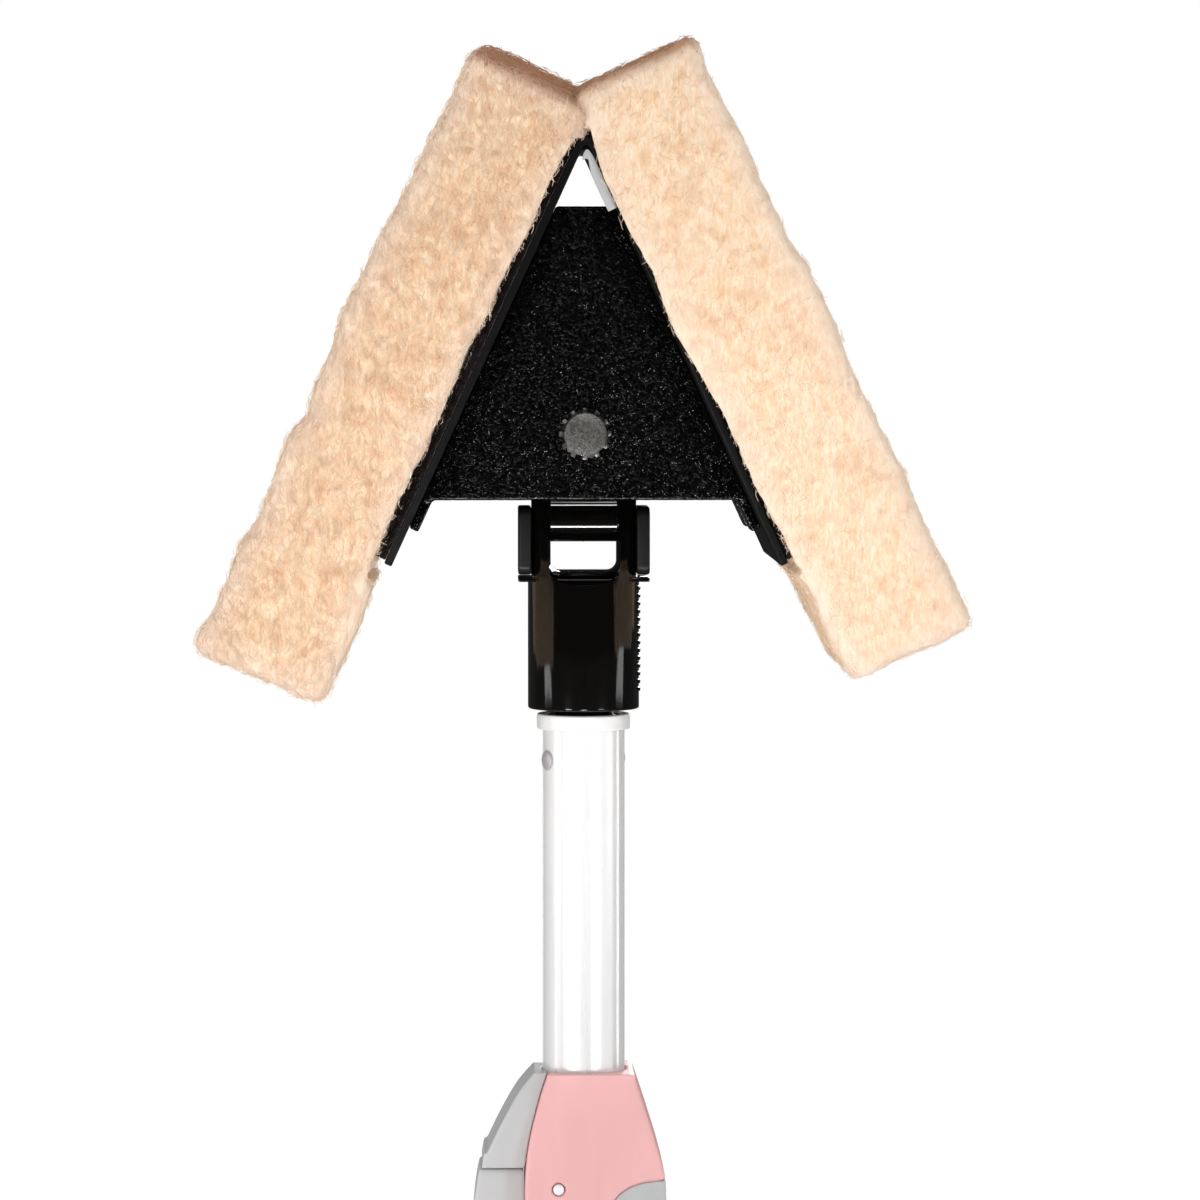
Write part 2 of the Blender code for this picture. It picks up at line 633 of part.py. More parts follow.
def build_fork_sleeve(shop, joint):
    """Socket for the pole's tip, with the two arms that carry the cross pin."""
    top = PIVOT_Z + ARM_TIP_RADIUS + 0.002
    bore = TIP_RADIUS + GAP
    body = turned_mesh("fork_sleeve", [(0.0, top), (SLEEVE_RADIUS, top),
                                       (SLEEVE_RADIUS, SLEEVE_BOTTOM + 0.0008),
                                       (SLEEVE_RADIUS - 0.0008, SLEEVE_BOTTOM),
                                       (bore, SLEEVE_BOTTOM), (bore, TIP_TOP + GAP),
                                       (0.0, TIP_TOP + GAP)])
    item = shop.add("fork_sleeve", body, ((0.012, 0.011, 0.010), 0.18), joint)
    side = outline_mesh("side", arm_side_outline(), -0.03, 0.03, 'YZ')
    combine(item, shop.cutter("fork_side_form", side), 'INTERSECT')
    slot = outline_mesh("slot", slot_outline(), -0.03, 0.03)
    combine(item, shop.cutter("fork_slot", slot))
    ledge_top = PIVOT_CAP_BOTTOM - 0.0008
    for sign, name in ((-1, "left"), (1, "right")):
        near = sign * ARM_FACE_X
        far = sign * 0.03
        flat = box_mesh("flat", (min(near, far), -0.03, PIVOT_CAP_BOTTOM - 0.0008),
                        (max(near, far), 0.03, PIVOT_Z + 0.03))
        combine(item, shop.cutter(f"fork_flat_{name}", flat))
        root = sign * (ARM_FACE_X - 0.002)
        tip = sign * (ARM_FACE_X + PIVOT_CAP_THICKNESS)
        ledge = box_mesh("ledge", (min(root, tip), -0.0090, ledge_top - LEDGE_HEIGHT),
                         (max(root, tip), 0.0090, ledge_top))
        combine(item, shop.cutter(f"fork_ledge_{name}", ledge), 'UNION')
    hole = cylinder_mesh("hole", (-0.03, 0, PIVOT_Z), (0.03, 0, PIVOT_Z), PIN_RADIUS + GAP, 24)
    combine(item, shop.cutter("fork_pin_hole", hole))
    shade(item)


def cap_outline():
    """A pivot cap from the side: a rounded shield that stands on the fork's ledge."""
    corner = 0.0030
    half = arc((PIVOT_CAP_HALF_DEPTH - corner, PIVOT_CAP_BOTTOM + corner), corner, -90, 0, 4)
    half += arc((PIVOT_CAP_HALF_DEPTH - corner, PIVOT_CAP_TOP - corner), corner, 0, 90, 4)
    return half + mirrored(half)


def build_pivot_caps(shop, joint):
    """Covers over the cross pin's ends, on the arms' flats."""
    for name, sign in (("pivot_cap_left", -1), ("pivot_cap_right", 1)):
        near = sign * (ARM_FACE_X + GAP)
        far = sign * (ARM_FACE_X + PIVOT_CAP_THICKNESS)
        mesh = outline_mesh(name, cap_outline(), min(near, far), max(near, far), 'YZ')
        item = shop.add(name, mesh, ((0.012, 0.012, 0.012), 0.35), joint)
        bevel(item, 0.0006, 2)


def build_cross_pin(shop, joint):
    """Steel pin that the head pitches on."""
    reach = ARM_FACE_X
    mesh = cylinder_mesh("cross_pin", (-reach, 0, PIVOT_Z), (reach, 0, PIVOT_Z), PIN_RADIUS, 20)
    item = shop.add("cross_pin", mesh, ((0.7, 0.7, 0.71), 0.3, 1.0), joint)
    bevel(item, 0.0004, 2)
    shade(item)


def build_swivel_block(shop, joint):
    """Barrel on the cross pin, with the tongue that the bolt goes through."""
    half_width = SLOT_WIDTH / 2 - GAP
    barrel = cylinder_mesh("swivel_block", (-half_width, 0, PIVOT_Z), (half_width, 0, PIVOT_Z),
                           BARREL_RADIUS)
    item = shop.add("swivel_block", barrel, ((0.012, 0.012, 0.012), 0.2), joint)
    outline = [(half_width, PIVOT_Z)] + arc((0.0, BOLT_Z), half_width, 0, 180, 16)
    outline += [(-half_width, PIVOT_Z)]
    depth = BARREL_RADIUS - 0.0002
    tongue = outline_mesh("tongue", outline, -depth, depth)
    combine(item, shop.cutter("block_tongue", tongue), 'UNION')
    reach = TONGUE_HALF_DEPTH + CUT_MARGIN
    bolt_hole = cylinder_mesh("hole", (0, -reach, BOLT_Z), (0, reach, BOLT_Z),
                              BOLT_RADIUS + GAP, 24)
    combine(item, shop.cutter("block_bolt_hole", bolt_hole))
    pin_hole = cylinder_mesh("hole", (-0.02, 0, PIVOT_Z), (0.02, 0, PIVOT_Z),
                             PIN_RADIUS + GAP, 24)
    combine(item, shop.cutter("block_pin_hole", pin_hole))
    shade(item)


# ---------------------------------------------------------------------- head
def plate_profile():
    """The V plate's outer line in x and z: leg, bend and leg."""
    bend_run = PLATE_BEND_RADIUS / math.tan(HALF_ANGLE)
    drop = PLATE_BEND_RADIUS / math.sin(HALF_ANGLE)
    start = math.degrees(HALF_ANGLE)
    right = [leg_point(1, PLATE_LEG, 0.0), leg_point(1, bend_run, 0.0)]
    bend = arc((0.0, PLATE_APEX_Z - drop), PLATE_BEND_RADIUS, start, 180 - start, 14)
    return right + bend[1:-1] + mirrored(right)


def leg_hole(name, side, z, y, radius):
    """A cutter square to a leg, through the leg and the flange behind it."""
    along = leg_along(z, 0.0)
    outer_x, outer_z = leg_point(side, along, CUT_MARGIN)
    inner_x, inner_z = leg_point(side, along, -0.012)
    return cylinder_mesh(name, (inner_x, y, inner_z), (outer_x, y, outer_z), radius, 16)


def rivet_places():
    """Name, side, height and depth of each rivet of the head."""
    places = []
    for bracket, sign in (("front", -1), ("rear", 1)):
        for side_name, side in (("left", -1), ("right", 1)):
            for level, z in zip(("low", "high"), RIVET_HEIGHTS):
                places.append((f"rivet_{bracket}_{side_name}_{level}", side, z, sign * RIVET_Y))
    return places


def build_v_plate(shop, joint):
    """Bent sheet that backs both pads."""
    bm = bmesh.new()
    points = [bm.verts.new((x, -PLATE_HALF_DEPTH, z)) for x, z in plate_profile()]
    edges = [bm.edges.new(pair) for pair in zip(points, points[1:])]
    grown = bmesh.ops.extrude_edge_only(bm, edges=edges)
    moved = [part for part in grown["geom"] if isinstance(part, bmesh.types.BMVert)]
    bmesh.ops.translate(bm, vec=(0, 2 * PLATE_HALF_DEPTH, 0), verts=moved)
    bmesh.ops.recalc_face_normals(bm, faces=bm.faces)
    item = shop.add("v_plate", finish_mesh(bm, "v_plate"), ((0.012, 0.012, 0.012), 0.3), joint)
    solid = item.modifiers.new("sheet", 'SOLIDIFY')
    solid.thickness = PLATE_THICKNESS
    solid.offset = plate_offset(item.data)
    solid.use_even_offset = True
    bevel(item, 0.0004, 1, 60.0)
    for name, side, z, y in rivet_places():
        hole = leg_hole("hole", side, z, y, RIVET_RADIUS + GAP)
        combine(item, shop.cutter(f"plate_hole_{name}", hole))
    shade(item)


def plate_offset(mesh):
    """Solidify's offset that keeps the drawn line as the plate's outer face."""
    top = max(mesh.polygons, key=lambda face: face.center.z)
    return -1.0 if top.normal.z > 0 else 1.0


def build_bracket(shop, joint, name, sign):
    """Pressed steel bracket: a web across the V and two flanges along its legs."""
    gap = GAP / math.cos(HALF_ANGLE)
    bottom = inner_half_width(WEB_BOTTOM) - gap
    top = inner_half_width(WEB_TOP) - gap
    outline = [(bottom, WEB_BOTTOM), (top, WEB_TOP), (-top, WEB_TOP), (-bottom, WEB_BOTTOM)]
    outer = sign * WEB_OUTER_Y
    inner = sign * (WEB_OUTER_Y - WEB_THICKNESS)
    web = outline_mesh(name, outline, min(outer, inner), max(outer, inner))
    item = shop.add(name, web, ((0.01, 0.01, 0.01), 0.6), joint)
    face = -PLATE_THICKNESS - GAP
    back = face - FLANGE_THICKNESS
    root = sign * (WEB_OUTER_Y - 0.0006)
    tail = sign * (WEB_OUTER_Y - FLANGE_DEPTH)
    for side_name, side in (("left", -1), ("right", 1)):
        corners = [leg_point(side, leg_along(FLANGE_TOP, face), face),
                   leg_point(side, leg_along(FLANGE_BOTTOM, face), face),
                   leg_point(side, leg_along(FLANGE_BOTTOM, face), back),
                   leg_point(side, leg_along(FLANGE_TOP, face), back)]
        flange = outline_mesh("flange", corners, min(root, tail), max(root, tail))
        combine(item, shop.cutter(f"{name}_flange_{side_name}", flange), 'UNION')
    hole = cylinder_mesh("hole", (0, outer - sign * 0.01, BOLT_Z), (0, outer + sign * 0.01, BOLT_Z),
                         BOLT_RADIUS + GAP, 24)
    combine(item, shop.cutter(f"{name}_bolt_hole", hole))
    for rivet, side, z, y in rivet_places():
        if y * sign > 0:
            cut = leg_hole("hole", side, z, y, RIVET_RADIUS + GAP)
            combine(item, shop.cutter(f"{name}_hole_{rivet}", cut))


def build_head_rivets(shop, joint):
    """Rivets through the legs and flanges, flush outside and round-headed inside."""
    face = -PLATE_THICKNESS - GAP - FLANGE_THICKNESS - GAP
    for name, side, z, y in rivet_places():
        along = leg_along(z, 0.0)
        flush_x, flush_z = leg_point(side, along, -0.0002)
        seat_x, seat_z = leg_point(side, along, face - 0.0004)
        shank = cylinder_mesh(name, (flush_x, y, flush_z), (seat_x, y, seat_z), RIVET_RADIUS, 16)
        item = shop.add(name, shank, ((0.03, 0.03, 0.03), 0.4, 0.6), joint)
        near_x, near_z = leg_point(side, along, face)
        far_x, far_z = leg_point(side, along, face - RIVET_HEAD_HEIGHT)
        head = cylinder_mesh("head", (near_x, y, near_z), (far_x, y, far_z),
                             RIVET_HEAD_RADIUS, 16, RIVET_HEAD_RADIUS * 0.6)
        combine(item, shop.cutter(f"{name}_head", head), 'UNION')
        shade(item)


def build_hook_tapes(shop, joint):
    """Hook tape stuck on the outer faces of the V plate."""
    for name, side in (("hook_tape_left", -1), ("hook_tape_right", 1)):
        mesh = leg_box(name, side, (TAPE_START, PLATE_LEG - 0.0010),
                       (GAP, GAP + TAPE_THICKNESS), TAPE_HALF_DEPTH)
        shop.add(name, mesh, ((0.03, 0.02, 0.015), 0.8), joint)


def build_pads(shop, joint):
    """Thick fibre pads, one on each leg."""
    seat = 2 * GAP + TAPE_THICKNESS
    for name, side in (("pad_left", -1), ("pad_right", 1)):
        mesh = leg_box(name, side, (PAD_START, PAD_START + PAD_LENGTH),
                       (seat, seat + PAD_THICKNESS), PAD_HALF_DEPTH)
        item = shop.add(name, mesh, ((0.93, 0.62, 0.42), 0.95), joint)
        bevel(item, PAD_ROUND, 3)


# ---------------------------------------------------------------- pivot bolt
def build_pivot_bolt(shop, joint):
    """Hex bolt through both brackets and the swivel block's tongue."""
    seat = -WEB_OUTER_Y - GAP - STAR_WASHER_THICKNESS - GAP
    shank = cylinder_mesh("pivot_bolt", (0, seat - 0.0005, BOLT_Z), (0, BOLT_END_Y, BOLT_Z),
                          BOLT_RADIUS, 24)
    item = shop.add("pivot_bolt", shank, ((0.72, 0.71, 0.69), 0.25, 1.0), joint)
    head = cylinder_mesh("head", (0, seat, BOLT_Z), (0, seat - BOLT_HEAD_HEIGHT, BOLT_Z),
                         BOLT_HEAD_RADIUS, 6, turn=BOLT_HEAD_TURN)
    combine(item, shop.cutter("bolt_head", head), 'UNION')
    chamfer = cylinder_mesh("chamfer", (0, BOLT_END_Y + 0.002, BOLT_Z),
                            (0, seat - BOLT_HEAD_HEIGHT - 0.0001, BOLT_Z),
                            BOLT_HEAD_RADIUS * 4.4, ROUND_SEGMENTS, BOLT_HEAD_RADIUS * 0.93)
    combine(item, shop.cutter("bolt_chamfer", chamfer), 'INTERSECT')
    shade(item, 30.0)


def star_outline():
    """Outline of the star washer, with square teeth."""
    points = []
    for tooth in range(STAR_WASHER_TEETH):
        middle = 2 * math.pi * tooth / STAR_WASHER_TEETH
        half = 0.28 * 2 * math.pi / STAR_WASHER_TEETH
        for angle, radius in ((-half, STAR_WASHER_ROOT), (-half, STAR_WASHER_RADIUS),
                              (half, STAR_WASHER_RADIUS), (half, STAR_WASHER_ROOT)):
            points.append((radius * math.cos(middle + angle),
                           BOLT_Z + radius * math.sin(middle + angle)))
    return points


def build_washers(shop, joint):
    """Star washer under the bolt's head and flat washer under the nut."""
    near = -WEB_OUTER_Y - GAP
    mesh = outline_mesh("star_washer", star_outline(), near - STAR_WASHER_THICKNESS, near)
    star = shop.add("star_washer", mesh, ((0.6, 0.59, 0.57), 0.35, 1.0), joint)
    hole = cylinder_mesh("hole", (0, near - 0.01, BOLT_Z), (0, near + 0.01, BOLT_Z),
                         BOLT_RADIUS + GAP, 24)
    combine(star, shop.cutter("star_washer_hole", hole))
    rear = WEB_OUTER_Y + GAP
    flat = cylinder_mesh("flat_washer", (0, rear, BOLT_Z), (0, rear + FLAT_WASHER_THICKNESS, BOLT_Z),
                         FLAT_WASHER_RADIUS)
    washer = shop.add("flat_washer", flat, ((0.66, 0.65, 0.64), 0.3, 1.0), joint)
    cut = cylinder_mesh("hole", (0, rear - 0.01, BOLT_Z), (0, rear + 0.01, BOLT_Z),
                        BOLT_RADIUS + GAP, 24)
    combine(washer, shop.cutter("flat_washer_hole", cut))


def build_lock_nut(shop, joint):
    """Lock nut behind the rear bracket."""
    seat = WEB_OUTER_Y + 2 * GAP + FLAT_WASHER_THICKNESS
    body = cylinder_mesh("lock_nut", (0, seat, BOLT_Z), (0, seat + NUT_HEIGHT, BOLT_Z),
                         BOLT_HEAD_RADIUS, 6, turn=math.radians(30.0))
    item = shop.add("lock_nut", body, ((0.7, 0.69, 0.68), 0.28, 1.0), joint)
    chamfer = cylinder_mesh("chamfer", (0, seat - 0.005, BOLT_Z), (0, seat + NUT_HEIGHT, BOLT_Z),
                            BOLT_HEAD_RADIUS * 2.6, ROUND_SEGMENTS, BOLT_HEAD_RADIUS * 0.86)
    combine(item, shop.cutter("nut_chamfer", chamfer), 'INTERSECT')
    hole = cylinder_mesh("hole", (0, seat - 0.01, BOLT_Z), (0, seat + 0.02, BOLT_Z),
                         BOLT_RADIUS + GAP, 24)
    combine(item, shop.cutter("nut_hole", hole))
    shade(item, 30.0)


def build_spacers(shop, joint):
    """Tubes on the bolt, between the brackets and the tongue."""
    for name, sign in (("spacer_front", -1), ("spacer_rear", 1)):
        near = sign * (BARREL_RADIUS + GAP)
        far = sign * (WEB_OUTER_Y - WEB_THICKNESS - GAP)
        tube = cylinder_mesh(name, (0, near, BOLT_Z), (0, far, BOLT_Z), SPACER_RADIUS)
        item = shop.add(name, tube, ((0.66, 0.66, 0.66), 0.35, 1.0), joint)
        hole = cylinder_mesh("hole", (0, near - sign * 0.01, BOLT_Z), (0, far + sign * 0.01, BOLT_Z),
                             BOLT_RADIUS + GAP, 24)
        combine(item, shop.cutter(f"{name}_hole", hole))
        shade(item)


# ------------------------------------------------------------------ assembly
def main():
    """Build the whole sander."""
    clear_scene()
    shop = Shop()
    build_end_cap(shop)
    build_lower_tube(shop)
    build_hand_grip(shop)
    build_clamp_body(shop)
    build_clamp_inset(shop)
    build_clamp_shoulder(shop)
    build_clamp_liner(shop)
    build_clamp_stud(shop)
    build_lever_pin(shop)
    build_cam_lever(shop, shop.joint("lever_axis", (LEVER_PIN_X, 0.0, LEVER_PIN_Z)))
    slide = shop.joint("slide_axis", (0.0, 0.0, UPPER_TUBE_BOTTOM))
    for build in (build_upper_tube, build_guide_bush, build_tip_ring, build_pole_tip,
                  build_tip_rivets, build_fork_sleeve, build_cross_pin, build_pivot_caps):
        build(shop, slide)
    build_swivel_block(shop, shop.joint("pitch_axis", (0.0, 0.0, PIVOT_Z)))
    tip_axis = shop.joint("tip_axis", (0.0, 0.0, BOLT_Z))
    build_v_plate(shop, tip_axis)
    build_hook_tapes(shop, tip_axis)
    build_pads(shop, tip_axis)
    build_bracket(shop, tip_axis, "bracket_front", -1)
    build_bracket(shop, tip_axis, "bracket_rear", 1)
    for build in (build_head_rivets, build_pivot_bolt, build_washers, build_lock_nut,
                  build_spacers):
        build(shop, tip_axis)


main()
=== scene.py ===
"""Looks of a corner-sanding head on a telescopic pole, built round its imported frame.

Metres, +Z up the pole, +X across the two pads and +Y from the bolt's head to its nut.
"""

import logging
import math
from dataclasses import dataclass, field
from enum import Enum
from typing import Any, Callable, Iterable, Sequence

import bmesh
import bpy
import numpy as np
from mathutils import Matrix, Vector, noise


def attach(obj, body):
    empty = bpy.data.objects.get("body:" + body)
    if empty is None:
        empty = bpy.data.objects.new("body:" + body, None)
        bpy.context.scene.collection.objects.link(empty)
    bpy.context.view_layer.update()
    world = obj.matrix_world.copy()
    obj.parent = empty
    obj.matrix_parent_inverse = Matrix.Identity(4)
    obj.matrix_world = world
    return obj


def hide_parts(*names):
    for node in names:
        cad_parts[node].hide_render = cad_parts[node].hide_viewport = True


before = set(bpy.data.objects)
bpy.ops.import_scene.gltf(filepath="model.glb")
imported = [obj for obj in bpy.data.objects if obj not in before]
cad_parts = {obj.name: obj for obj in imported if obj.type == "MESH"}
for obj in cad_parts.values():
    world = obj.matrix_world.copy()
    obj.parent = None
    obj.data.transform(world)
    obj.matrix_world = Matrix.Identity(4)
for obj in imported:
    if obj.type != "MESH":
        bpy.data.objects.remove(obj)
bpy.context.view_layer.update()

LOG = logging.getLogger("pole_sander")

Point2 = tuple[float, float]
Colour = tuple[float, float, float]


class Rider(str, Enum):
    """The bodies of the sander that pieces ride on."""

    LOWER_POLE = "lower_pole"
    LEVER = "lever"
    UPPER_POLE = "upper_pole"
    SWIVEL = "swivel"
    HEAD = "head"


# ------------------------------------------------------------------ materials
class Recipe:
    """A node material with one Principled surface, written with short calls."""

    def __init__(self, name: str) -> None:
        """Start an empty recipe.

        Args:
            name: The material's name.
        """
        self.material = bpy.data.materials.new(name)
        self.material.use_nodes = True
        self.nodes = self.material.node_tree.nodes
        self.links = self.material.node_tree.links
        self.surface = self.nodes["Principled BSDF"]
        self.place = self.nodes.new("ShaderNodeTexCoord").outputs["Object"]

    def set(self, **values: float | Colour) -> "Recipe":
        """Set the surface's own sockets, with underscores for spaces.

        Returns:
            The recipe itself.
        """
        for key, value in values.items():
            socket = self.surface.inputs[key.replace("_", " ")]
            socket.default_value = (*value, 1.0) if isinstance(value, tuple) else value
        return self

    def stretched(self, scale: Sequence[float], turn: float = 0.0) -> bpy.types.NodeSocket:
        """Object coordinates, scaled per axis and turned about Y.

        Returns:
            The mapped vector.
        """
        mapping = self.nodes.new("ShaderNodeMapping")
        mapping.inputs["Scale"].default_value = scale
        mapping.inputs["Rotation"].default_value = (0.0, turn, 0.0)
        self.links.new(self.place, mapping.inputs["Vector"])
        return mapping.outputs["Vector"]

    def noise(self, scale: float, detail: float = 3.0, rough: float = 0.5,
              place: bpy.types.NodeSocket | None = None) -> bpy.types.NodeSocket:
        """A noise texture.

        Args:
            scale: Features per metre.
            detail: Octaves.
            rough: How strong the fine octaves are.
            place: Coordinates, or object coordinates when left out.

        Returns:
            The noise's value.
        """
        texture = self.nodes.new("ShaderNodeTexNoise")
        texture.inputs["Scale"].default_value = scale
        texture.inputs["Detail"].default_value = detail
        texture.inputs["Roughness"].default_value = rough
        self.links.new(place or self.place, texture.inputs["Vector"])
        return texture.outputs["Fac"]

    def cells(self, scale: float, place: bpy.types.NodeSocket | None = None
              ) -> bpy.types.NodeSocket:
        """Distance to the middle of the nearest cell of a Voronoi texture."""
        texture = self.nodes.new("ShaderNodeTexVoronoi")
        texture.inputs["Scale"].default_value = scale
        self.links.new(place or self.place, texture.inputs["Vector"])
        return texture.outputs["Distance"]

    def attribute(self, name: str) -> bpy.types.NodeSocket:
        """A number stored on the mesh."""
        reader = self.nodes.new("ShaderNodeAttribute")
        reader.attribute_name = name
        return reader.outputs["Fac"]

    def remap(self, value: bpy.types.NodeSocket, low: float, high: float,
              to_low: float = 0.0, to_high: float = 1.0) -> bpy.types.NodeSocket:
        """A clamped straight-line remap of a number."""
        node = self.nodes.new("ShaderNodeMapRange")
        for key, number in (("From Min", low), ("From Max", high), ("To Min", to_low),
                            ("To Max", to_high)):
            node.inputs[key].default_value = number
        self.links.new(value, node.inputs["Value"])
        return node.outputs["Result"]

    def math(self, operation: str, first: bpy.types.NodeSocket,
             second: bpy.types.NodeSocket | float) -> bpy.types.NodeSocket:
        """One step of arithmetic."""
        node = self.nodes.new("ShaderNodeMath")
        node.operation = operation
        self.links.new(first, node.inputs[0])
        if isinstance(second, (int, float)):
            node.inputs[1].default_value = second
        else:
            self.links.new(second, node.inputs[1])
        return node.outputs["Value"]

    def blend(self, factor: bpy.types.NodeSocket, first: Colour | bpy.types.NodeSocket,
              second: Colour | bpy.types.NodeSocket) -> bpy.types.NodeSocket:
        """Two colours mixed by a factor.

        Returns:
            The mixed colour.
        """
        node = self.nodes.new("ShaderNodeMix")
        node.data_type = 'RGBA'
        self.links.new(factor, node.inputs["Factor"])
        for socket, colour in ((node.inputs[6], first), (node.inputs[7], second)):
            if isinstance(colour, tuple):
                socket.default_value = (*colour, 1.0)
            else:
                self.links.new(colour, socket)
        return node.outputs[2]

    def colour(self, value: bpy.types.NodeSocket) -> "Recipe":
        """Link the surface's colour."""
        self.links.new(value, self.surface.inputs["Base Color"])
        return self

    def roughness(self, value: bpy.types.NodeSocket) -> "Recipe":
        """Link the surface's roughness."""
        self.links.new(value, self.surface.inputs["Roughness"])
        return self

    def bump(self, height: bpy.types.NodeSocket, depth: float, strength: float = 1.0,
             under: bpy.types.NodeSocket | None = None) -> bpy.types.NodeSocket:
        """Bump the surface by a height of 0 to 1.

        Args:
            height: The height field.
            depth: The height's size in metres.
            strength: How much of it shows.
            under: Another bump to lie on.

        Returns:
            The bumped normal.
        """
        node = self.nodes.new("ShaderNodeBump")
        node.inputs["Distance"].default_value = depth
        node.inputs["Strength"].default_value = strength
        self.links.new(height, node.inputs["Height"])
        if under:
            self.links.new(under, node.inputs["Normal"])
        self.links.new(node.outputs["Normal"], self.surface.inputs["Normal"])
        return node.outputs["Normal"]


@dataclass(frozen=True)
class FibreFinish:
    """Undyed and peach fibres, with a painted sheen that makes them paler along the block's
    edges, painted shade that makes them darker on its top ends, and a painted shadow where the
    two pads meet.
    """

    name: str
    core: Colour = (0.93, 0.66, 0.42)
    light: Colour = (0.99, 0.82, 0.63)
    dark: Colour = (0.80, 0.44, 0.22)
    # Painted sheen: the pale tone laid on the block's rounded edges, standing in for light that
    # the sparse fibres scatter there.
    edge: Colour = (0.93, 0.76, 0.63)
    # Painted shade: the brown of the top end faces, which stand in shade.
    end: Colour = (0.66, 0.36, 0.20)
    # Painted shadow in the fold where the two pads meet.
    shadow: Colour = (0.30, 0.09, 0.015)
    depth: float = 0.0004

    def build(self) -> bpy.types.Material:
        """Make the material from the mesh's shade, edge, end and fold attributes: edge paints the
        sheen, end paints the shade on the top ends and fold paints the shadow between the pads.
        """
        recipe = Recipe(self.name)
        strands = recipe.noise(900.0, 3.0, 0.7, recipe.stretched((1.0, 1.0, 0.35)))
        blotch = recipe.noise(250.0, 2.0)
        shade = recipe.attribute("shade")
        tone = recipe.blend(recipe.remap(strands, 0.38, 0.62), self.core, self.light)
        fleck_and_glint = recipe.remap(recipe.math('ADD', blotch, recipe.math('MULTIPLY', shade, 0.3)),
                             0.60, 0.86)
        tone = recipe.blend(recipe.math('MULTIPLY', fleck_and_glint, 0.6), tone, self.dark)
        tone = recipe.blend(recipe.remap(shade, 0.45, 1.0, 0.0, 0.7), tone, self.light)
        # Painted sheen along the block's edges.
        tone = recipe.blend(recipe.math('MULTIPLY', recipe.attribute("edge"), 0.85),
                            tone, self.edge)
        # Painted shade on the top end faces.
        tone = recipe.blend(recipe.math('MULTIPLY', recipe.attribute("end"), 0.9),
                            tone, self.end)
        # Painted shadow in the fold where the two pads meet.
        tone = recipe.blend(recipe.math('MULTIPLY', recipe.attribute("fold"), 0.9),
                            tone, self.shadow)
        recipe.colour(tone).set(Roughness=0.92, Specular_IOR_Level=0.15, Sheen_Weight=0.25,
                                Sheen_Roughness=0.5)
        recipe.bump(strands, self.depth, 0.7)
        return recipe.material


@dataclass(frozen=True)
class PowderCoat:
    """Coarse black powder coat: hard little bumps that catch the light, with painted glints laid
    on as grey dots.
    """

    name: str
    colour: Colour = (0.0008, 0.0008, 0.0008)
    # Painted glint: a grey laid on small dots, standing for light caught by the coat's bumps.
    fleck_and_glint: Colour = (0.48, 0.48, 0.48)
    grain: float = 1300.0
    depth: float = 0.00011

    def build(self) -> bpy.types.Material:
        """Make the material: black and glossy, with lone bumps, and painted glints that thin out
        upwards as a painted fall-off of light under the pads.
        """
        recipe = Recipe(self.name)
        grit = recipe.noise(self.grain, 1.6, 0.5)
        fine = recipe.noise(self.grain * 2.4, 1.0)
        bumps = recipe.math('ADD', recipe.remap(grit, 0.56, 0.78),
                            recipe.math('MULTIPLY', recipe.remap(fine, 0.55, 0.75), 0.25))
        split = recipe.nodes.new("ShaderNodeSeparateXYZ")
        recipe.links.new(recipe.place, split.inputs["Vector"])
        # How crowded the painted glints are: random, and thinning upwards as a painted fall-off
        # of light under the pads.
        glint_crowd = recipe.math('ADD', recipe.noise(420.0, 1.0),
                            recipe.remap(split.outputs["Z"], 0.565, 0.650, 0.10, -0.10))
        dots = recipe.remap(recipe.cells(1250.0), 0.10, 0.17, 1.0, 0.0)
        # Painted glints: the grey dots mixed into the black colour.
        painted_glints = recipe.math('MULTIPLY', dots, recipe.remap(glint_crowd, 0.54, 0.62))
        recipe.colour(recipe.blend(painted_glints, self.colour, self.fleck_and_glint))
        recipe.set(Roughness=0.12, Specular_IOR_Level=0.22)
        recipe.bump(bumps, self.depth)
        return recipe.material


@dataclass(frozen=True)
class Moulding:
    """Moulded plastic or rubber with a fine skin, faint flow marks and handling wear."""

    name: str
    colour: Colour
    gloss: float
    grain: float = 2600.0
    depth: float = 0.00002
    worn: float = 0.06
    specular: float = 0.5
    coat: float = 0.0

    def build(self) -> bpy.types.Material:
        """Make the material."""
        recipe = Recipe(self.name)
        flow = recipe.noise(38.0, 3.0, 0.55, recipe.stretched((1.0, 1.0, 0.3)))
        skin = recipe.noise(self.grain, 2.0, 0.5)
        pale = tuple(min(1.0, channel * 1.09 + 0.0012) for channel in self.colour)
        deep = tuple(channel * 0.93 for channel in self.colour)
        recipe.colour(recipe.blend(recipe.remap(flow, 0.3, 0.7), deep, pale))
        recipe.roughness(recipe.remap(flow, 0.3, 0.75, self.gloss, self.gloss + self.worn))
        recipe.set(Specular_IOR_Level=self.specular, Coat_Weight=self.coat, Coat_Roughness=0.08)
        recipe.bump(skin, self.depth, 0.8)
        return recipe.material


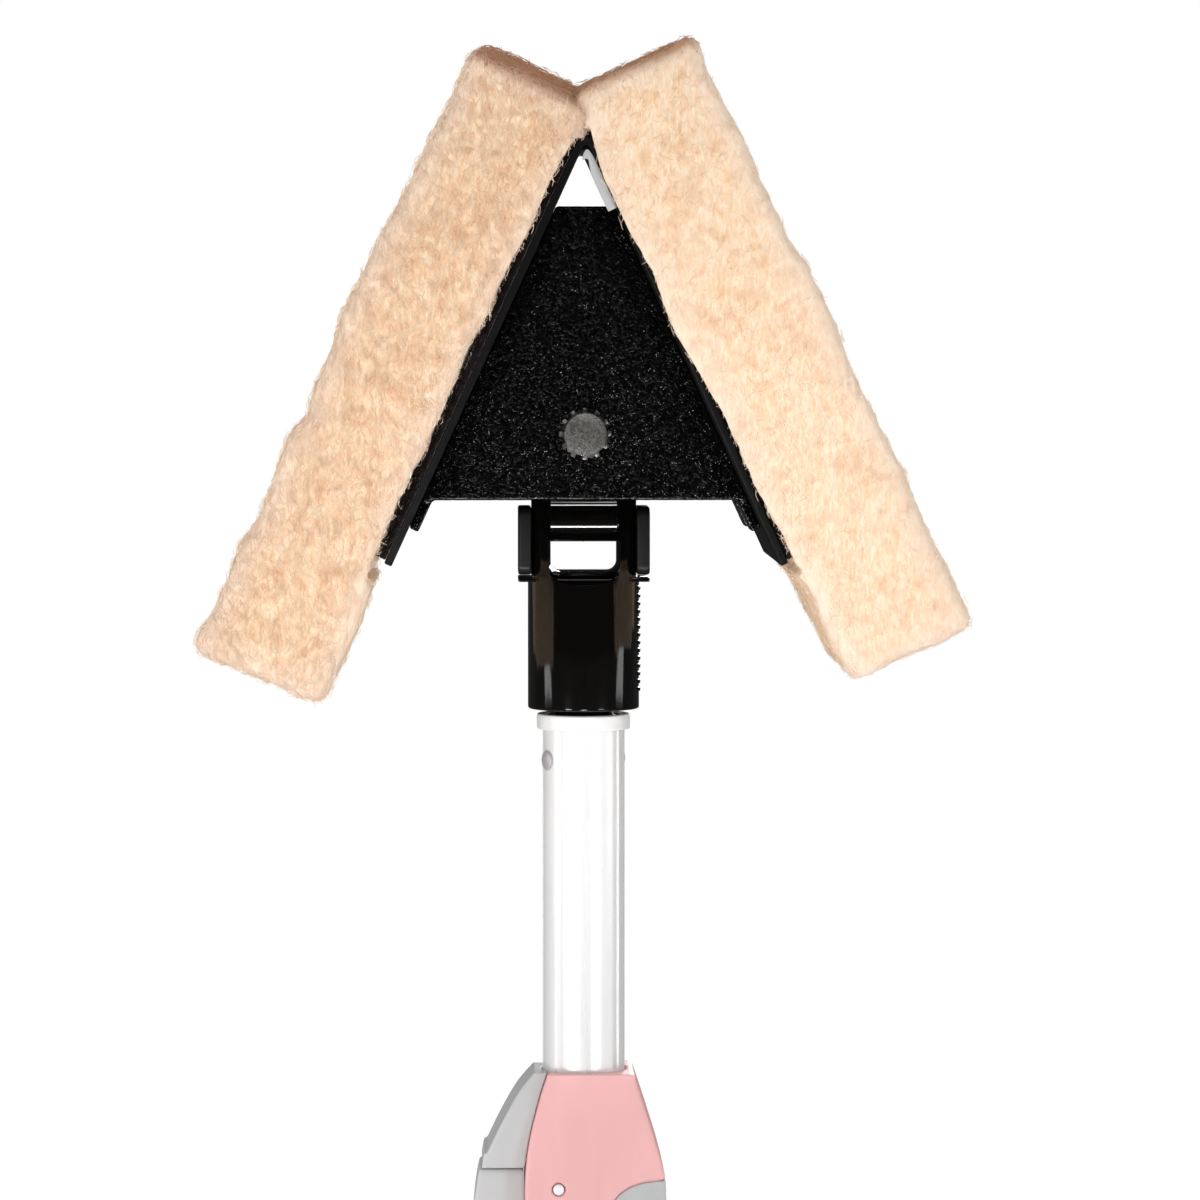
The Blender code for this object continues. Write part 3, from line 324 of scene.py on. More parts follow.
@dataclass(frozen=True)
class Metal:
    """Bare metal with fine lines from drawing, turning or rolling."""

    name: str
    colour: Colour
    gloss: float
    metallic: float = 1.0
    lines: Sequence[float] = (1.0, 1.0, 1.0)
    grain: float = 900.0
    depth: float = 0.000012
    stain: float = 0.10
    patches: float = 60.0

    def build(self) -> bpy.types.Material:
        """Make the material."""
        recipe = Recipe(self.name)
        drawn = recipe.noise(self.grain, 3.0, 0.6, recipe.stretched(self.lines))
        patch = recipe.noise(self.patches, 3.0, 0.6)
        dull = tuple(channel * (1.0 - self.stain) for channel in self.colour)
        recipe.colour(recipe.blend(recipe.remap(patch, 0.35, 0.65), self.colour, dull))
        rough = recipe.math('ADD', recipe.remap(drawn, 0.3, 0.7, 0.0, 0.12),
                            recipe.remap(patch, 0.3, 0.7, self.gloss, self.gloss + 0.06))
        recipe.roughness(rough).set(Metallic=self.metallic)
        recipe.bump(drawn, self.depth, 0.7)
        return recipe.material


def made(recipe: Any) -> Any:
    """A field whose material is built when the finishes are made."""
    return field(default_factory=recipe.build)


@dataclass(frozen=True)
class Finishes:
    """Every finish on the sander, made once."""

    pad: bpy.types.Material = made(FibreFinish("pad_fibre"))
    tape: bpy.types.Material = made(Moulding(
        "hook_tape", (0.010, 0.0045, 0.0028), 0.62, 1500.0, 0.0004, 0.1, 0.3))
    plate: bpy.types.Material = made(Moulding(
        "black_plate", (0.0022, 0.0018, 0.0016), 0.42, 900.0, 0.00002, 0.1, 0.14))
    powder: bpy.types.Material = made(PowderCoat("powder_coat"))
    gloss_black: bpy.types.Material = made(Moulding(
        "gloss_black", (0.0018, 0.0015, 0.0013), 0.06, 1200.0, 0.000004, 0.03, 0.5))
    satin_black: bpy.types.Material = made(Moulding(
        "satin_black", (0.006, 0.006, 0.006), 0.34, 1700.0, 0.00003, 0.1, 0.35))
    stainless: bpy.types.Material = made(Metal(
        "stainless", (0.74, 0.71, 0.68), 0.2, stain=0.55, grain=1300.0, patches=330.0))
    dark_steel: bpy.types.Material = made(Metal(
        "dark_steel", (0.20, 0.195, 0.19), 0.28))
    steel: bpy.types.Material = made(Metal(
        "plain_steel", (0.62, 0.62, 0.62), 0.3))
    tube: bpy.types.Material = made(Metal(
        "pale_tube", (0.94, 0.94, 0.945), 0.3, 0.25, (1.0, 1.0, 0.02), 2200.0, stain=0.02))
    ring: bpy.types.Material = made(Metal(
        "pale_ring", (0.90, 0.90, 0.905), 0.42, 0.12, (0.05, 0.05, 1.0), 1800.0,
        stain=0.04))
    pink: bpy.types.Material = made(Moulding(
        "pink_plastic", (0.87, 0.480, 0.475), 0.36, 2300.0, 0.00002, 0.08, 0.4))
    grey: bpy.types.Material = made(Moulding(
        "grey_plastic", (0.57, 0.575, 0.575), 0.46, 2300.0, 0.00004, 0.1, 0.35))
    button: bpy.types.Material = made(Metal(
        "button_metal", (0.60, 0.60, 0.61), 0.4, 0.5))
    stud: bpy.types.Material = made(Metal(
        "bright_stud", (0.98, 0.98, 0.98), 0.3, 0.1))
    rubber: bpy.types.Material = made(Moulding(
        "grip_rubber", (0.045, 0.045, 0.048), 0.6, 1500.0, 0.00006, 0.15, 0.3))
    soft_grey: bpy.types.Material = made(Moulding(
        "soft_grey", (0.505, 0.51, 0.51), 0.66, 1500.0, 0.00009, 0.12, 0.25))


# -------------------------------------------------------------- mesh workshop
def node_points(name: str) -> np.ndarray:
    """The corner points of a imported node, in metres.

    Args:
        name: The node.

    Returns:
        An array of points, three numbers each.
    """
    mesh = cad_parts[name].data
    points = np.empty(len(mesh.vertices) * 3)
    mesh.vertices.foreach_get("co", points)
    return points.reshape(-1, 3)


def add_object(name: str, data: bpy.types.ID) -> bpy.types.Object:
    """A new object in the scene, round its data."""
    item = bpy.data.objects.new(name, data)
    bpy.context.scene.collection.objects.link(item)
    return item


def shade(mesh: bpy.types.Mesh, angle: float) -> None:
    """Shade a mesh smooth, but for edges sharper than an angle in degrees."""
    mesh.shade_smooth()
    mesh.set_sharp_from_angle(angle=math.radians(angle))


def evaluated(item: bpy.types.Object) -> bpy.types.Mesh:
    """A new mesh of what an object's modifiers or curve settings come to."""
    bpy.context.view_layer.update()
    graph = bpy.context.evaluated_depsgraph_get()
    return bpy.data.meshes.new_from_object(item.evaluated_get(graph))


def piece_from(bm: bmesh.types.BMesh, name: str, angle: float = 35.0) -> bpy.types.Object:
    """A linked object from a bmesh, smooth but for its sharp edges.

    Args:
        bm: The bmesh, which is freed.
        name: The object's name.
        angle: Edges sharper than this, in degrees, stay sharp.

    Returns:
        The object, at the origin.
    """
    mesh = bpy.data.meshes.new(name)
    bm.to_mesh(mesh)
    bm.free()
    shade(mesh, angle)
    return add_object(name, mesh)


def settle(item: bpy.types.Object, angle: float | None = None) -> bpy.types.Object:
    """Apply an object's modifiers.

    Args:
        item: The object.
        angle: When given, edges sharper than this, in degrees, are marked sharp.

    Returns:
        The same object with a plain mesh.
    """
    mesh = evaluated(item)
    item.modifiers.clear()
    old = item.data
    item.data = mesh
    bpy.data.meshes.remove(old)
    if angle is not None:
        shade(mesh, angle)
    return item


def publish(item: bpy.types.Object, rider: Rider, finish: bpy.types.Material, slot: str,
            *replaced: str) -> bpy.types.Object:
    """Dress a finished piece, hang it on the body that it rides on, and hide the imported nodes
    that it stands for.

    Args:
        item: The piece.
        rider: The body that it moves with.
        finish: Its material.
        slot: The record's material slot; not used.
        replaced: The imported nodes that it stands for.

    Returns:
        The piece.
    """
    item.data.materials.clear()
    item.data.materials.append(finish)
    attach(item, rider.value)
    if replaced:
        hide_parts(*replaced)
    LOG.info("%s: %d faces", item.name, len(item.data.polygons))
    return item


def lathe(name: str, profile: Sequence[Point2], steps: int = 96,
          axis: Matrix | None = None) -> bpy.types.Object:
    """Turn a closed profile of (radius, height) points about Z.

    Args:
        name: The object's name.
        profile: The outline, without its closing point.
        steps: Steps in the full turn.
        axis: A matrix that takes +Z to the piece's own axis.

    Returns:
        The turned object.
    """
    bm = bmesh.new()
    points = [bm.verts.new((radius, 0.0, height)) for radius, height in profile]
    pairs = zip(points, points[1:] + points[:1])
    edges = [bm.edges.new(pair) for pair in pairs
             if pair[0].co.x > 1e-9 or pair[1].co.x > 1e-9]
    bmesh.ops.spin(bm, geom=points + edges, cent=(0, 0, 0), axis=(0, 0, 1), dvec=(0, 0, 0),
                   angle=math.tau, steps=steps, use_merge=True, use_duplicate=False)
    bmesh.ops.remove_doubles(bm, verts=bm.verts, dist=1e-7)
    bmesh.ops.recalc_face_normals(bm, faces=bm.faces)
    if axis:
        bmesh.ops.transform(bm, matrix=axis, verts=bm.verts)
    return piece_from(bm, name)


def rod(radius: float, low: float, high: float, steps: int, axis: Matrix | None = None
        ) -> bpy.types.Object:
    """A plain round tool that cuts a hole, from one height to another."""
    return lathe("rod", [(0.0, low), (radius, low), (radius, high), (0.0, high)], steps, axis)


def chip(name: str, size: Sequence[float], ease: float, segments: int,
         place: Matrix = Matrix.Identity(4)) -> bpy.types.Object:
    """A block with eased edges, put in its place by a matrix."""
    bm = bmesh.new()
    bmesh.ops.create_cube(bm, size=1.0)
    bmesh.ops.scale(bm, vec=size, verts=bm.verts)
    bmesh.ops.bevel(bm, geom=bm.edges[:], offset=ease, segments=segments, profile=0.5,
                    affect='EDGES', material=-1)
    bmesh.ops.transform(bm, matrix=place, verts=bm.verts)
    return piece_from(bm, name)


def mirrored(half: Sequence[Point2]) -> list[Point2]:
    """Half an outline with its mirror image, as one loop."""
    return [*half, *((-across, up) for across, up in reversed(half))]


def along_y(x: float, y: float, z: float) -> Matrix:
    """A matrix that lays a turned piece along +Y, through a point."""
    return Matrix.Translation((x, y, z)) @ Matrix.Rotation(-math.pi / 2, 4, 'X')


def along_x(x: float, y: float, z: float) -> Matrix:
    """A matrix that lays a turned piece along +X, through a point."""
    return Matrix.Translation((x, y, z)) @ Matrix.Rotation(math.pi / 2, 4, 'Y')


def prism(name: str, outline: Iterable[Point2], low: float, high: float,
          plane: str = "XZ") -> bpy.types.Object:
    """Extrude a flat outline between two depths.

    Args:
        name: The object's name.
        outline: Points across and up.
        low: The near depth.
        high: The far depth.
        plane: "XZ" extrudes along Y, "YZ" along X and "XY" along Z.

    Returns:
        The solid.
    """
    stand = {"XZ": lambda a, b: (a, low, b), "YZ": lambda a, b: (low, a, b),
             "XY": lambda a, b: (a, b, low)}[plane]
    step = {"XZ": (0, high - low, 0), "YZ": (high - low, 0, 0), "XY": (0, 0, high - low)}[plane]
    bm = bmesh.new()
    face = bm.faces.new([bm.verts.new(stand(a, b)) for a, b in outline])
    grown = bmesh.ops.extrude_face_region(bm, geom=[face], use_keep_orig=True)
    moved = [part for part in grown["geom"] if isinstance(part, bmesh.types.BMVert)]
    bmesh.ops.translate(bm, vec=step, verts=moved)
    bmesh.ops.recalc_face_normals(bm, faces=bm.faces)
    return piece_from(bm, name)


def cut(item: bpy.types.Object, tool: bpy.types.Object, operation: str = 'DIFFERENCE'
        ) -> bpy.types.Object:
    """Cut, join or intersect a piece with a tool, and remove the tool.

    Args:
        item: The piece.
        tool: The other solid.
        operation: The Boolean's kind.

    Returns:
        The piece with the result applied.
    """
    modifier = item.modifiers.new("cut", 'BOOLEAN')
    modifier.operation = operation
    modifier.solver = 'EXACT'
    modifier.object = tool
    settle(item)
    bpy.data.objects.remove(tool, do_unlink=True)
    return item


def soften(item: bpy.types.Object, width: float, segments: int = 3, angle: float = 30.0,
           sharp: float = 35.0) -> bpy.types.Object:
    """Round a piece's edges and apply it.

    Args:
        item: The piece.
        width: The rounding's width.
        segments: Steps in each rounding.
        angle: Edges sharper than this, in degrees, are rounded.
        sharp: Edges still sharper than this, in degrees, are shaded sharp.

    Returns:
        The piece.
    """
    modifier = item.modifiers.new("rounding", 'BEVEL')
    modifier.width = width
    modifier.segments = segments
    modifier.limit_method = 'ANGLE'
    modifier.angle_limit = math.radians(angle)
    modifier.harden_normals = False
    return settle(item, sharp)


def even_normals(item: bpy.types.Object) -> bpy.types.Object:
    """Let a piece's large faces set the shading at its rounded edges."""
    modifier = item.modifiers.new("even_normals", 'WEIGHTED_NORMAL')
    modifier.keep_sharp = True
    return settle(item)


def arc(centre: Point2, radius: float, start: float, end: float, steps: int) -> list[Point2]:
    """Points along an arc, with its angles in degrees."""
    angles = [math.radians(start + (end - start) * step / steps) for step in range(steps + 1)]
    return [(centre[0] + radius * math.cos(angle), centre[1] + radius * math.sin(angle))
            for angle in angles]


def curve_through(points: Sequence[Point2], steps: int = 8) -> list[Point2]:
    """A smooth open curve through a few points.

    Args:
        points: The points to pass through.
        steps: Steps between two of them.

    Returns:
        The curve's points.
    """
    padded = [points[0], *points, points[-1]]
    result: list[Point2] = []
    for first, second, third, fourth in zip(padded, padded[1:], padded[2:], padded[3:]):
        for step in range(steps):
            t = step / steps
            result.append(tuple(
                0.5 * (2 * b + (c - a) * t + (2 * a - 5 * b + 4 * c - d) * t * t
                       + (3 * b - a - 3 * c + d) * t ** 3)
                for a, b, c, d in zip(first, second, third, fourth)))
    return result + [tuple(points[-1])]


def remesh(item: bpy.types.Object, voxel: float) -> bpy.types.Object:
    """Rebuild a closed piece from even quads."""
    modifier = item.modifiers.new("even_quads", 'REMESH')
    modifier.mode = 'VOXEL'
    modifier.voxel_size = voxel
    modifier.use_smooth_shade = True
    return settle(item)


def relax(item: bpy.types.Object, rounds: int, factor: float = 0.5) -> bpy.types.Object:
    """Smooth a piece's points towards their neighbours."""
    bm = bmesh.new()
    bm.from_mesh(item.data)
    for _ in range(rounds):
        bmesh.ops.smooth_vert(bm, verts=bm.verts, factor=factor, use_axis_x=True,
                              use_axis_y=True, use_axis_z=True)
    bm.to_mesh(item.data)
    bm.free()
    return item


def shift_points(item: bpy.types.Object, rule: Callable[[Vector, Vector], Vector]) -> None:
    """Move each point of a piece by a rule of its place and normal."""
    normals = [vertex.normal.copy() for vertex in item.data.vertices]
    for vertex, normal in zip(item.data.vertices, normals):
        vertex.co = vertex.co + rule(vertex.co, normal)
    item.data.update()


def join(item: bpy.types.Object, others: Sequence[bpy.types.Object]) -> bpy.types.Object:
    """Put other pieces' meshes into one piece, and remove them.

    Args:
        item: The piece that grows.
        others: The pieces that go into it.

    Returns:
        The piece.
    """
    bm = bmesh.new()
    bm.from_mesh(item.data)
    for other in others:
        bm.from_mesh(other.data)
        bpy.data.objects.remove(other, do_unlink=True)
    bm.to_mesh(item.data)
    bm.free()
    return item


def copy_node(name: str) -> bpy.types.Object:
    """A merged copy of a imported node, to be reworked.

    Args:
        name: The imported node.

    Returns:
        The copy.
    """
    bm = bmesh.new()
    bm.from_mesh(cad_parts[name].data)
    bmesh.ops.remove_doubles(bm, verts=bm.verts, dist=1e-6)
    return piece_from(bm, f"{name}_fine")


def strands(name: str, lines: np.ndarray, taper: Sequence[float], radius: float
            ) -> bpy.types.Object:
    """Many fine open lines as one mesh of thin tubes.

    Args:
        name: The object's name.
        lines: Points, as (strand, point, axis).
        taper: The radius factor at each point.
        radius: The tube's radius.

    Returns:
        The strands.
    """
    curve = bpy.data.curves.new(f"{name}_lines", 'CURVE')
    curve.dimensions = '3D'
    curve.bevel_depth = radius
    curve.bevel_resolution = 0
    rows = np.concatenate([lines, np.ones((*lines.shape[:2], 1))], axis=2)
    for row in rows.reshape(len(lines), -1):
        spline = curve.splines.new('POLY')
        spline.points.add(lines.shape[1] - 1)
        spline.points.foreach_set("co", row)
        spline.points.foreach_set("radius", taper)
    holder = add_object(name, curve)
    mesh = evaluated(holder)
    bpy.data.objects.remove(holder, do_unlink=True)
    mesh.shade_smooth()
    mesh.name = name
    return add_object(name, mesh)


# ---------------------------------------- sizes shared by the pieces, in metres
HALF_ANGLE = math.radians(24.6)
APEX_Z = 0.6810
GAP = 0.0003
BOLT_Z = 0.5870
PIVOT_Z = 0.5602
PLATE_LEG = 0.1455
PLATE_DEPTH = 0.0470
PLATE_THICKNESS = 0.0022
FLANGE_THICKNESS = 0.0030
BRACKET_DEPTH = 0.0280
FLAT_WASHER = 0.0016
SEAM = 0.00003
BOLT_HOLE = 0.0043
PIN_HOLE = 0.0033
PAD_START = -0.0095

# Millimetres down the leg, with how far a pad's front edge laps inwards over the plate
# there (lips), or how far its outer face stands out from the straight block (faces).
LEFT_LIPS = ((-10, 5.2), (2, 5.2), (10, 3.6), (35, 3.2), (48, 1.8), (62, 2.2), (74, 0.3),
             (100, 0.0), (120, 0.4), (140, 1.4), (150, 2.4), (165, 3.5), (195, 3.6))
LEFT_FACES = ((-10, -2.4), (7, -4.2), (17, -3.7), (27, -2.6), (42, -3.6), (52, -2.0),
              (72, -1.2), (80, -1.0), (90, -2.3), (103, -2.6), (112, -3.7), (120, -0.6),
              (134, -3.2), (145, -3.6), (155, -1.2), (165, -2.9), (175, -2.4), (188, -0.6),
              (196, 0.0))
RIGHT_LIPS = ((-10, 5.2), (2, 6.2), (9, 7.8), (15, 9.0), (24, 9.2), (36, 8.8), (48, 7.0),
              (58, 8.6), (68, 9.4), (78, 7.6), (92, 6.0), (105, 4.8), (118, 5.8), (135, 3.6),
              (146, 3.4), (153, 1.6), (165, 0.8), (180, 0.0), (195, 0.0))
RIGHT_FACES = ((-10, -2.4), (2, -4.6), (10, -3.4), (20, -2.2), (44, -2.5), (56, -2.5),
               (66, 0.1), (98, -1.0), (118, -0.9), (134, 0.6), (143, -0.9), (160, 0.2),
               (172, 0.8), (184, 1.1), (196, 0.2))


def leg_point(side: int, along: float, out: float) -> Point2:
    """A point of a leg's own frame, seen from the front.

    Args:
        side: -1 for the left leg and 1 for the right one.
        along: The distance down the leg from the sharp outer apex.
        out: The distance out from the leg's outer face.

    Returns:
        X and Z.
    """
    across = math.sin(HALF_ANGLE) * along + math.cos(HALF_ANGLE) * out
    up = APEX_Z - math.cos(HALF_ANGLE) * along + math.sin(HALF_ANGLE) * out
    return side * across, up


def leg_box(name: str, side: int, along: Point2, out: Point2, deep: Point2
            ) -> bpy.types.Object:
    """A box that lies along a leg, given by its three spans."""
    corners = [leg_point(side, along[0], out[0]), leg_point(side, along[1], out[0]),
               leg_point(side, along[1], out[1]), leg_point(side, along[0], out[1])]
    return prism(name, corners, *deep)


# -------------------------------------------------------------------- the head
@dataclass
class BlockFrame:
    """Where a packed slab lies: its middle, its own axes and its sizes."""

    middle: Vector
    axes: Matrix
    size: Vector

    @classmethod
    def of(cls, node: str) -> "BlockFrame":
        """Measure a slab that leans in the XZ plane.

        Args:
            node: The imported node.

        Returns:
            Its frame: down its length, out through its thickness, and along Y.
        """
        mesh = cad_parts[node].data
        flat = [face for face in mesh.polygons if abs(face.normal.y) < 0.02]
        weights: dict[tuple[float, float], float] = {}
        for face in flat:
            key = (round(face.normal.x, 3), round(face.normal.z, 3))
            weights[key] = weights.get(key, 0.0) + face.area
        across, up = max((key for key in weights if key[1] > 0), key=weights.get)
        out = Vector((across, 0.0, up)).normalized()
        down = Vector((math.copysign(out.z, out.x), 0.0, -abs(out.x))).normalized()
        deep = Vector((0.0, 1.0, 0.0))
        axes = Matrix((down, out, deep)).transposed()
        local = node_points(node) @ np.array(axes)
        low, high = local.min(axis=0), local.max(axis=0)
        middle = axes @ Vector((low + high) / 2)
        return cls(middle, axes, Vector(high - low))

    def matrix(self) -> Matrix:
        """The matrix from the slab's own axes to the world."""
        return Matrix.Translation(self.middle) @ self.axes.to_4x4()


def clamp(value: float) -> float:
    """A number held between 0 and 1."""
    return max(0.0, min(1.0, value))


def profile_at(profile: Sequence[Point2], along: float) -> float:
    """A number of millimetres read off a profile, in metres.

    Args:
        profile: Places down the leg and values there, both in millimetres.
        along: The place in metres.

    Returns:
        The value in metres.
    """
    places, values = zip(*profile)
    return float(np.interp(along * 1000.0, places, values)) / 1000.0


@dataclass
class FibrePad:
    """A thick block of non-woven fibre, with a nap of loose fibre ends all over."""

    node: str
    seed: int
    slide: float
    rises: Point2
    foot: float
    lips: Sequence[Point2]
    faces: Sequence[Point2]
    corner: float = 0.0046
    cell: float = 0.0013
    wave: float = 0.0011
    clumps: int = 4
    fibres_per_clump: int = 8400
    fibre_length: float = 0.0031
    fibre_radius: float = 0.000095
    spread: float = 0.55

    def tones(self, point: Vector, normal: Vector, half: Vector, length: float
              ) -> dict[str, float]:
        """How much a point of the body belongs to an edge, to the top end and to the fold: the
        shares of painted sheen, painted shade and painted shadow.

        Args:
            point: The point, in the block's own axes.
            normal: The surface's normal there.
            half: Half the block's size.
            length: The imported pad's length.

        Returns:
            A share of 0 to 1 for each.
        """
        inset = sorted(half[axis] - abs(point[axis]) for axis in range(3))
        near_top = 1.0 - (point.x + half.x) / (length * 0.062)
        return {"edge": clamp(1.0 - inset[1] / 0.011) ** 1.5,
                "end": clamp(-normal.x * 1.6 - 0.45),
                "fold": clamp(near_top) * max(0.0, -normal.y)}

    def shift(self, point: Vector, half: Vector, size: Vector) -> Vector:
        """How far the pad's uneven outline lies from the straight block at a point.

        Args:
            point: The point, in the block's own axes.
            half: Half the block's size.
            size: The block's size.

        Returns:
            The move down the leg and out from it.
        """
        along = point.x + half.x + PAD_START
        share = clamp(0.5 + point.y / size.y)
        rim = PLATE_DEPTH + GAP
        front = clamp((-point.z - rim) / 0.0012)
        if along > PLATE_LEG + 0.003 or along < 0.0015:
            front = 1.0
        near = max(0.0, 1.0 - share * size.y / 0.015)
        depth = 0.5 + 0.5 * point.z / half.z
        rise = self.rises[0] + (self.rises[1] - self.rises[0]) * depth
        drop = self.slide - rise * max(0.0, -point.x / half.x) ** 3
        drop += self.foot * max(0.0, point.x / half.x) ** 3
        push = share * profile_at(self.faces, along) - front * near * profile_at(
            self.lips, along)
        return Vector((drop, push, 0.0))

    def block(self) -> bpy.types.Object:
        """The pad's body: a rounded block with a wavy surface and leaning ends.

        Returns:
            The body, in the world's axes.
        """
        place = BlockFrame.of(self.node)
        size = place.size - Vector((0.0010, 0.0010, 0.0010))
        half = size / 2
        item = remesh(chip(self.node + "_body", size, self.corner, 5), self.cell)
        bm = bmesh.new()
        bm.from_mesh(item.data)
        # Layers for the painted edge sheen, the painted top-end shade, the random tone called
        # shade and the painted fold shadow.
        layers = {key: bm.verts.layers.float.new(key) for key in ("edge", "end", "shade", "fold")}
        offset = Vector((self.seed * 3.1, 0.0, 0.0))
        bm.normal_update()
        for vertex in bm.verts:
            broad, middle, fine = (noise.noise(vertex.co * pitch + offset)
                                   for pitch in (62.0, 190.0, 520.0))
            tones = self.tones(vertex.co, vertex.normal, half, place.size.x)
            for key, tone in (*tones.items(), ("shade", 0.4 + 0.5 * middle)):
                vertex[layers[key]] = tone
            rise = self.wave * (broad + 0.45 * middle + 0.3 * fine) - 0.0003
            vertex.co += vertex.normal * rise + self.shift(vertex.co, half, size)
        bmesh.ops.transform(bm, matrix=place.matrix(), verts=bm.verts)
        bm.to_mesh(item.data)
        bm.free()
        item.data.shade_smooth()
        return item

    def nap(self, body: bpy.types.Object, clump: int) -> bpy.types.Object:
        """A share of the short loose fibres that lie over the pad's surface.

        Args:
            body: The pad's body.
            clump: Which share this is, which also seeds it.

        Returns:
            The fibres as one mesh.
        """
        rng = np.random.default_rng(self.seed * 10 + clump)
        place = BlockFrame.of(self.node)
        mesh = body.data
        faces = len(mesh.polygons)
        areas, centres, normals = np.empty(faces), np.empty(faces * 3), np.empty(faces * 3)
        mesh.polygons.foreach_get("area", areas)
        mesh.polygons.foreach_get("center", centres)
        mesh.polygons.foreach_get("normal", normals)
        centres, normals = centres.reshape(-1, 3), normals.reshape(-1, 3)
        out = np.array(place.axes.col[1])
        weight = areas * np.where(normals[:, 1] < -0.3, 2.2, 0.75)
        weight *= np.where(normals @ out < -0.85, 0.15, 1.0)
        picks = rng.choice(faces, self.fibres_per_clump, p=weight / weight.sum())
        roots, up = centres[picks], normals[picks]
        roots = roots + rng.normal(0.0, self.cell * 0.35, roots.shape)
        lines = self.fibre_lines(roots, up, rng)
        name = f"{self.node}_nap_{clump}"
        item = strands(name, lines, (0.7, 1.1, 0.6), self.fibre_radius)
        corners = np.array([face.vertices[0] for face in mesh.polygons])[picks]
        each = len(item.data.vertices) // len(picks)
        tones = {"shade": rng.random(len(picks))}
        # Each fibre takes the body's painted sheen, painted shade and painted shadow shares at
        # its root.
        for key in ("edge", "end", "fold"):
            values = np.empty(len(mesh.vertices))
            mesh.attributes[key].data.foreach_get("value", values)
            tones[key] = values[corners]
        for key, values in tones.items():
            layer = item.data.attributes.new(key, 'FLOAT', 'POINT')
            layer.data.foreach_set("value", np.repeat(values, each))
        return item

    def fibre_lines(self, roots: np.ndarray, up: np.ndarray, rng: np.random.Generator
                    ) -> np.ndarray:
        """Three points for each fibre, lying on the surface with a lifted tip.

        Args:
            roots: The fibres' middles.
            up: The surface's normals there.
            rng: The random numbers.

        Returns:
            Points, as (fibre, point, axis).
        """
        count = len(roots)
        lengthways = np.array((0.0, 0.0, 1.0)) - up * up[:, 2:3]
        flat = np.linalg.norm(lengthways, axis=1, keepdims=True) < 0.25
        lengthways = np.where(flat, np.array((0.0, 1.0, 0.0)), lengthways)
        lengthways -= up * (lengthways * up).sum(axis=1, keepdims=True)
        lengthways /= np.linalg.norm(lengthways, axis=1, keepdims=True)
        sideways = np.cross(up, lengthways)
        turn = rng.normal(0.0, self.spread, (count, 1))
        ahead = lengthways * np.cos(turn) + sideways * np.sin(turn)
        across = np.cross(up, ahead)
        length = self.fibre_length * rng.uniform(0.5, 1.4, (count, 1))
        bend = rng.normal(0.0, 0.16, (count, 1)) * length
        low = rng.uniform(-0.0002, 0.0002, (count, 1))
        high = rng.uniform(0.0001, 0.00055, (count, 1))
        stray = rng.random((count, 1)) < 0.035
        tip = np.where(stray, rng.uniform(0.0006, 0.0014, (count, 1)), low)
        return np.stack([roots - ahead * length / 2 + up * low,
                         roots + across * bend + up * high,
                         roots + ahead * length / 2 + up * tip], axis=1)

    def build(self, finishes: Finishes) -> None:
        """Make the pad and its nap."""
        body = self.block()
        publish(body, Rider.HEAD, finishes.pad, "pad_fibre", self.node)
        for clump in range(self.clumps):
            publish(self.nap(body, clump), Rider.HEAD, finishes.pad, "pad_fibre")


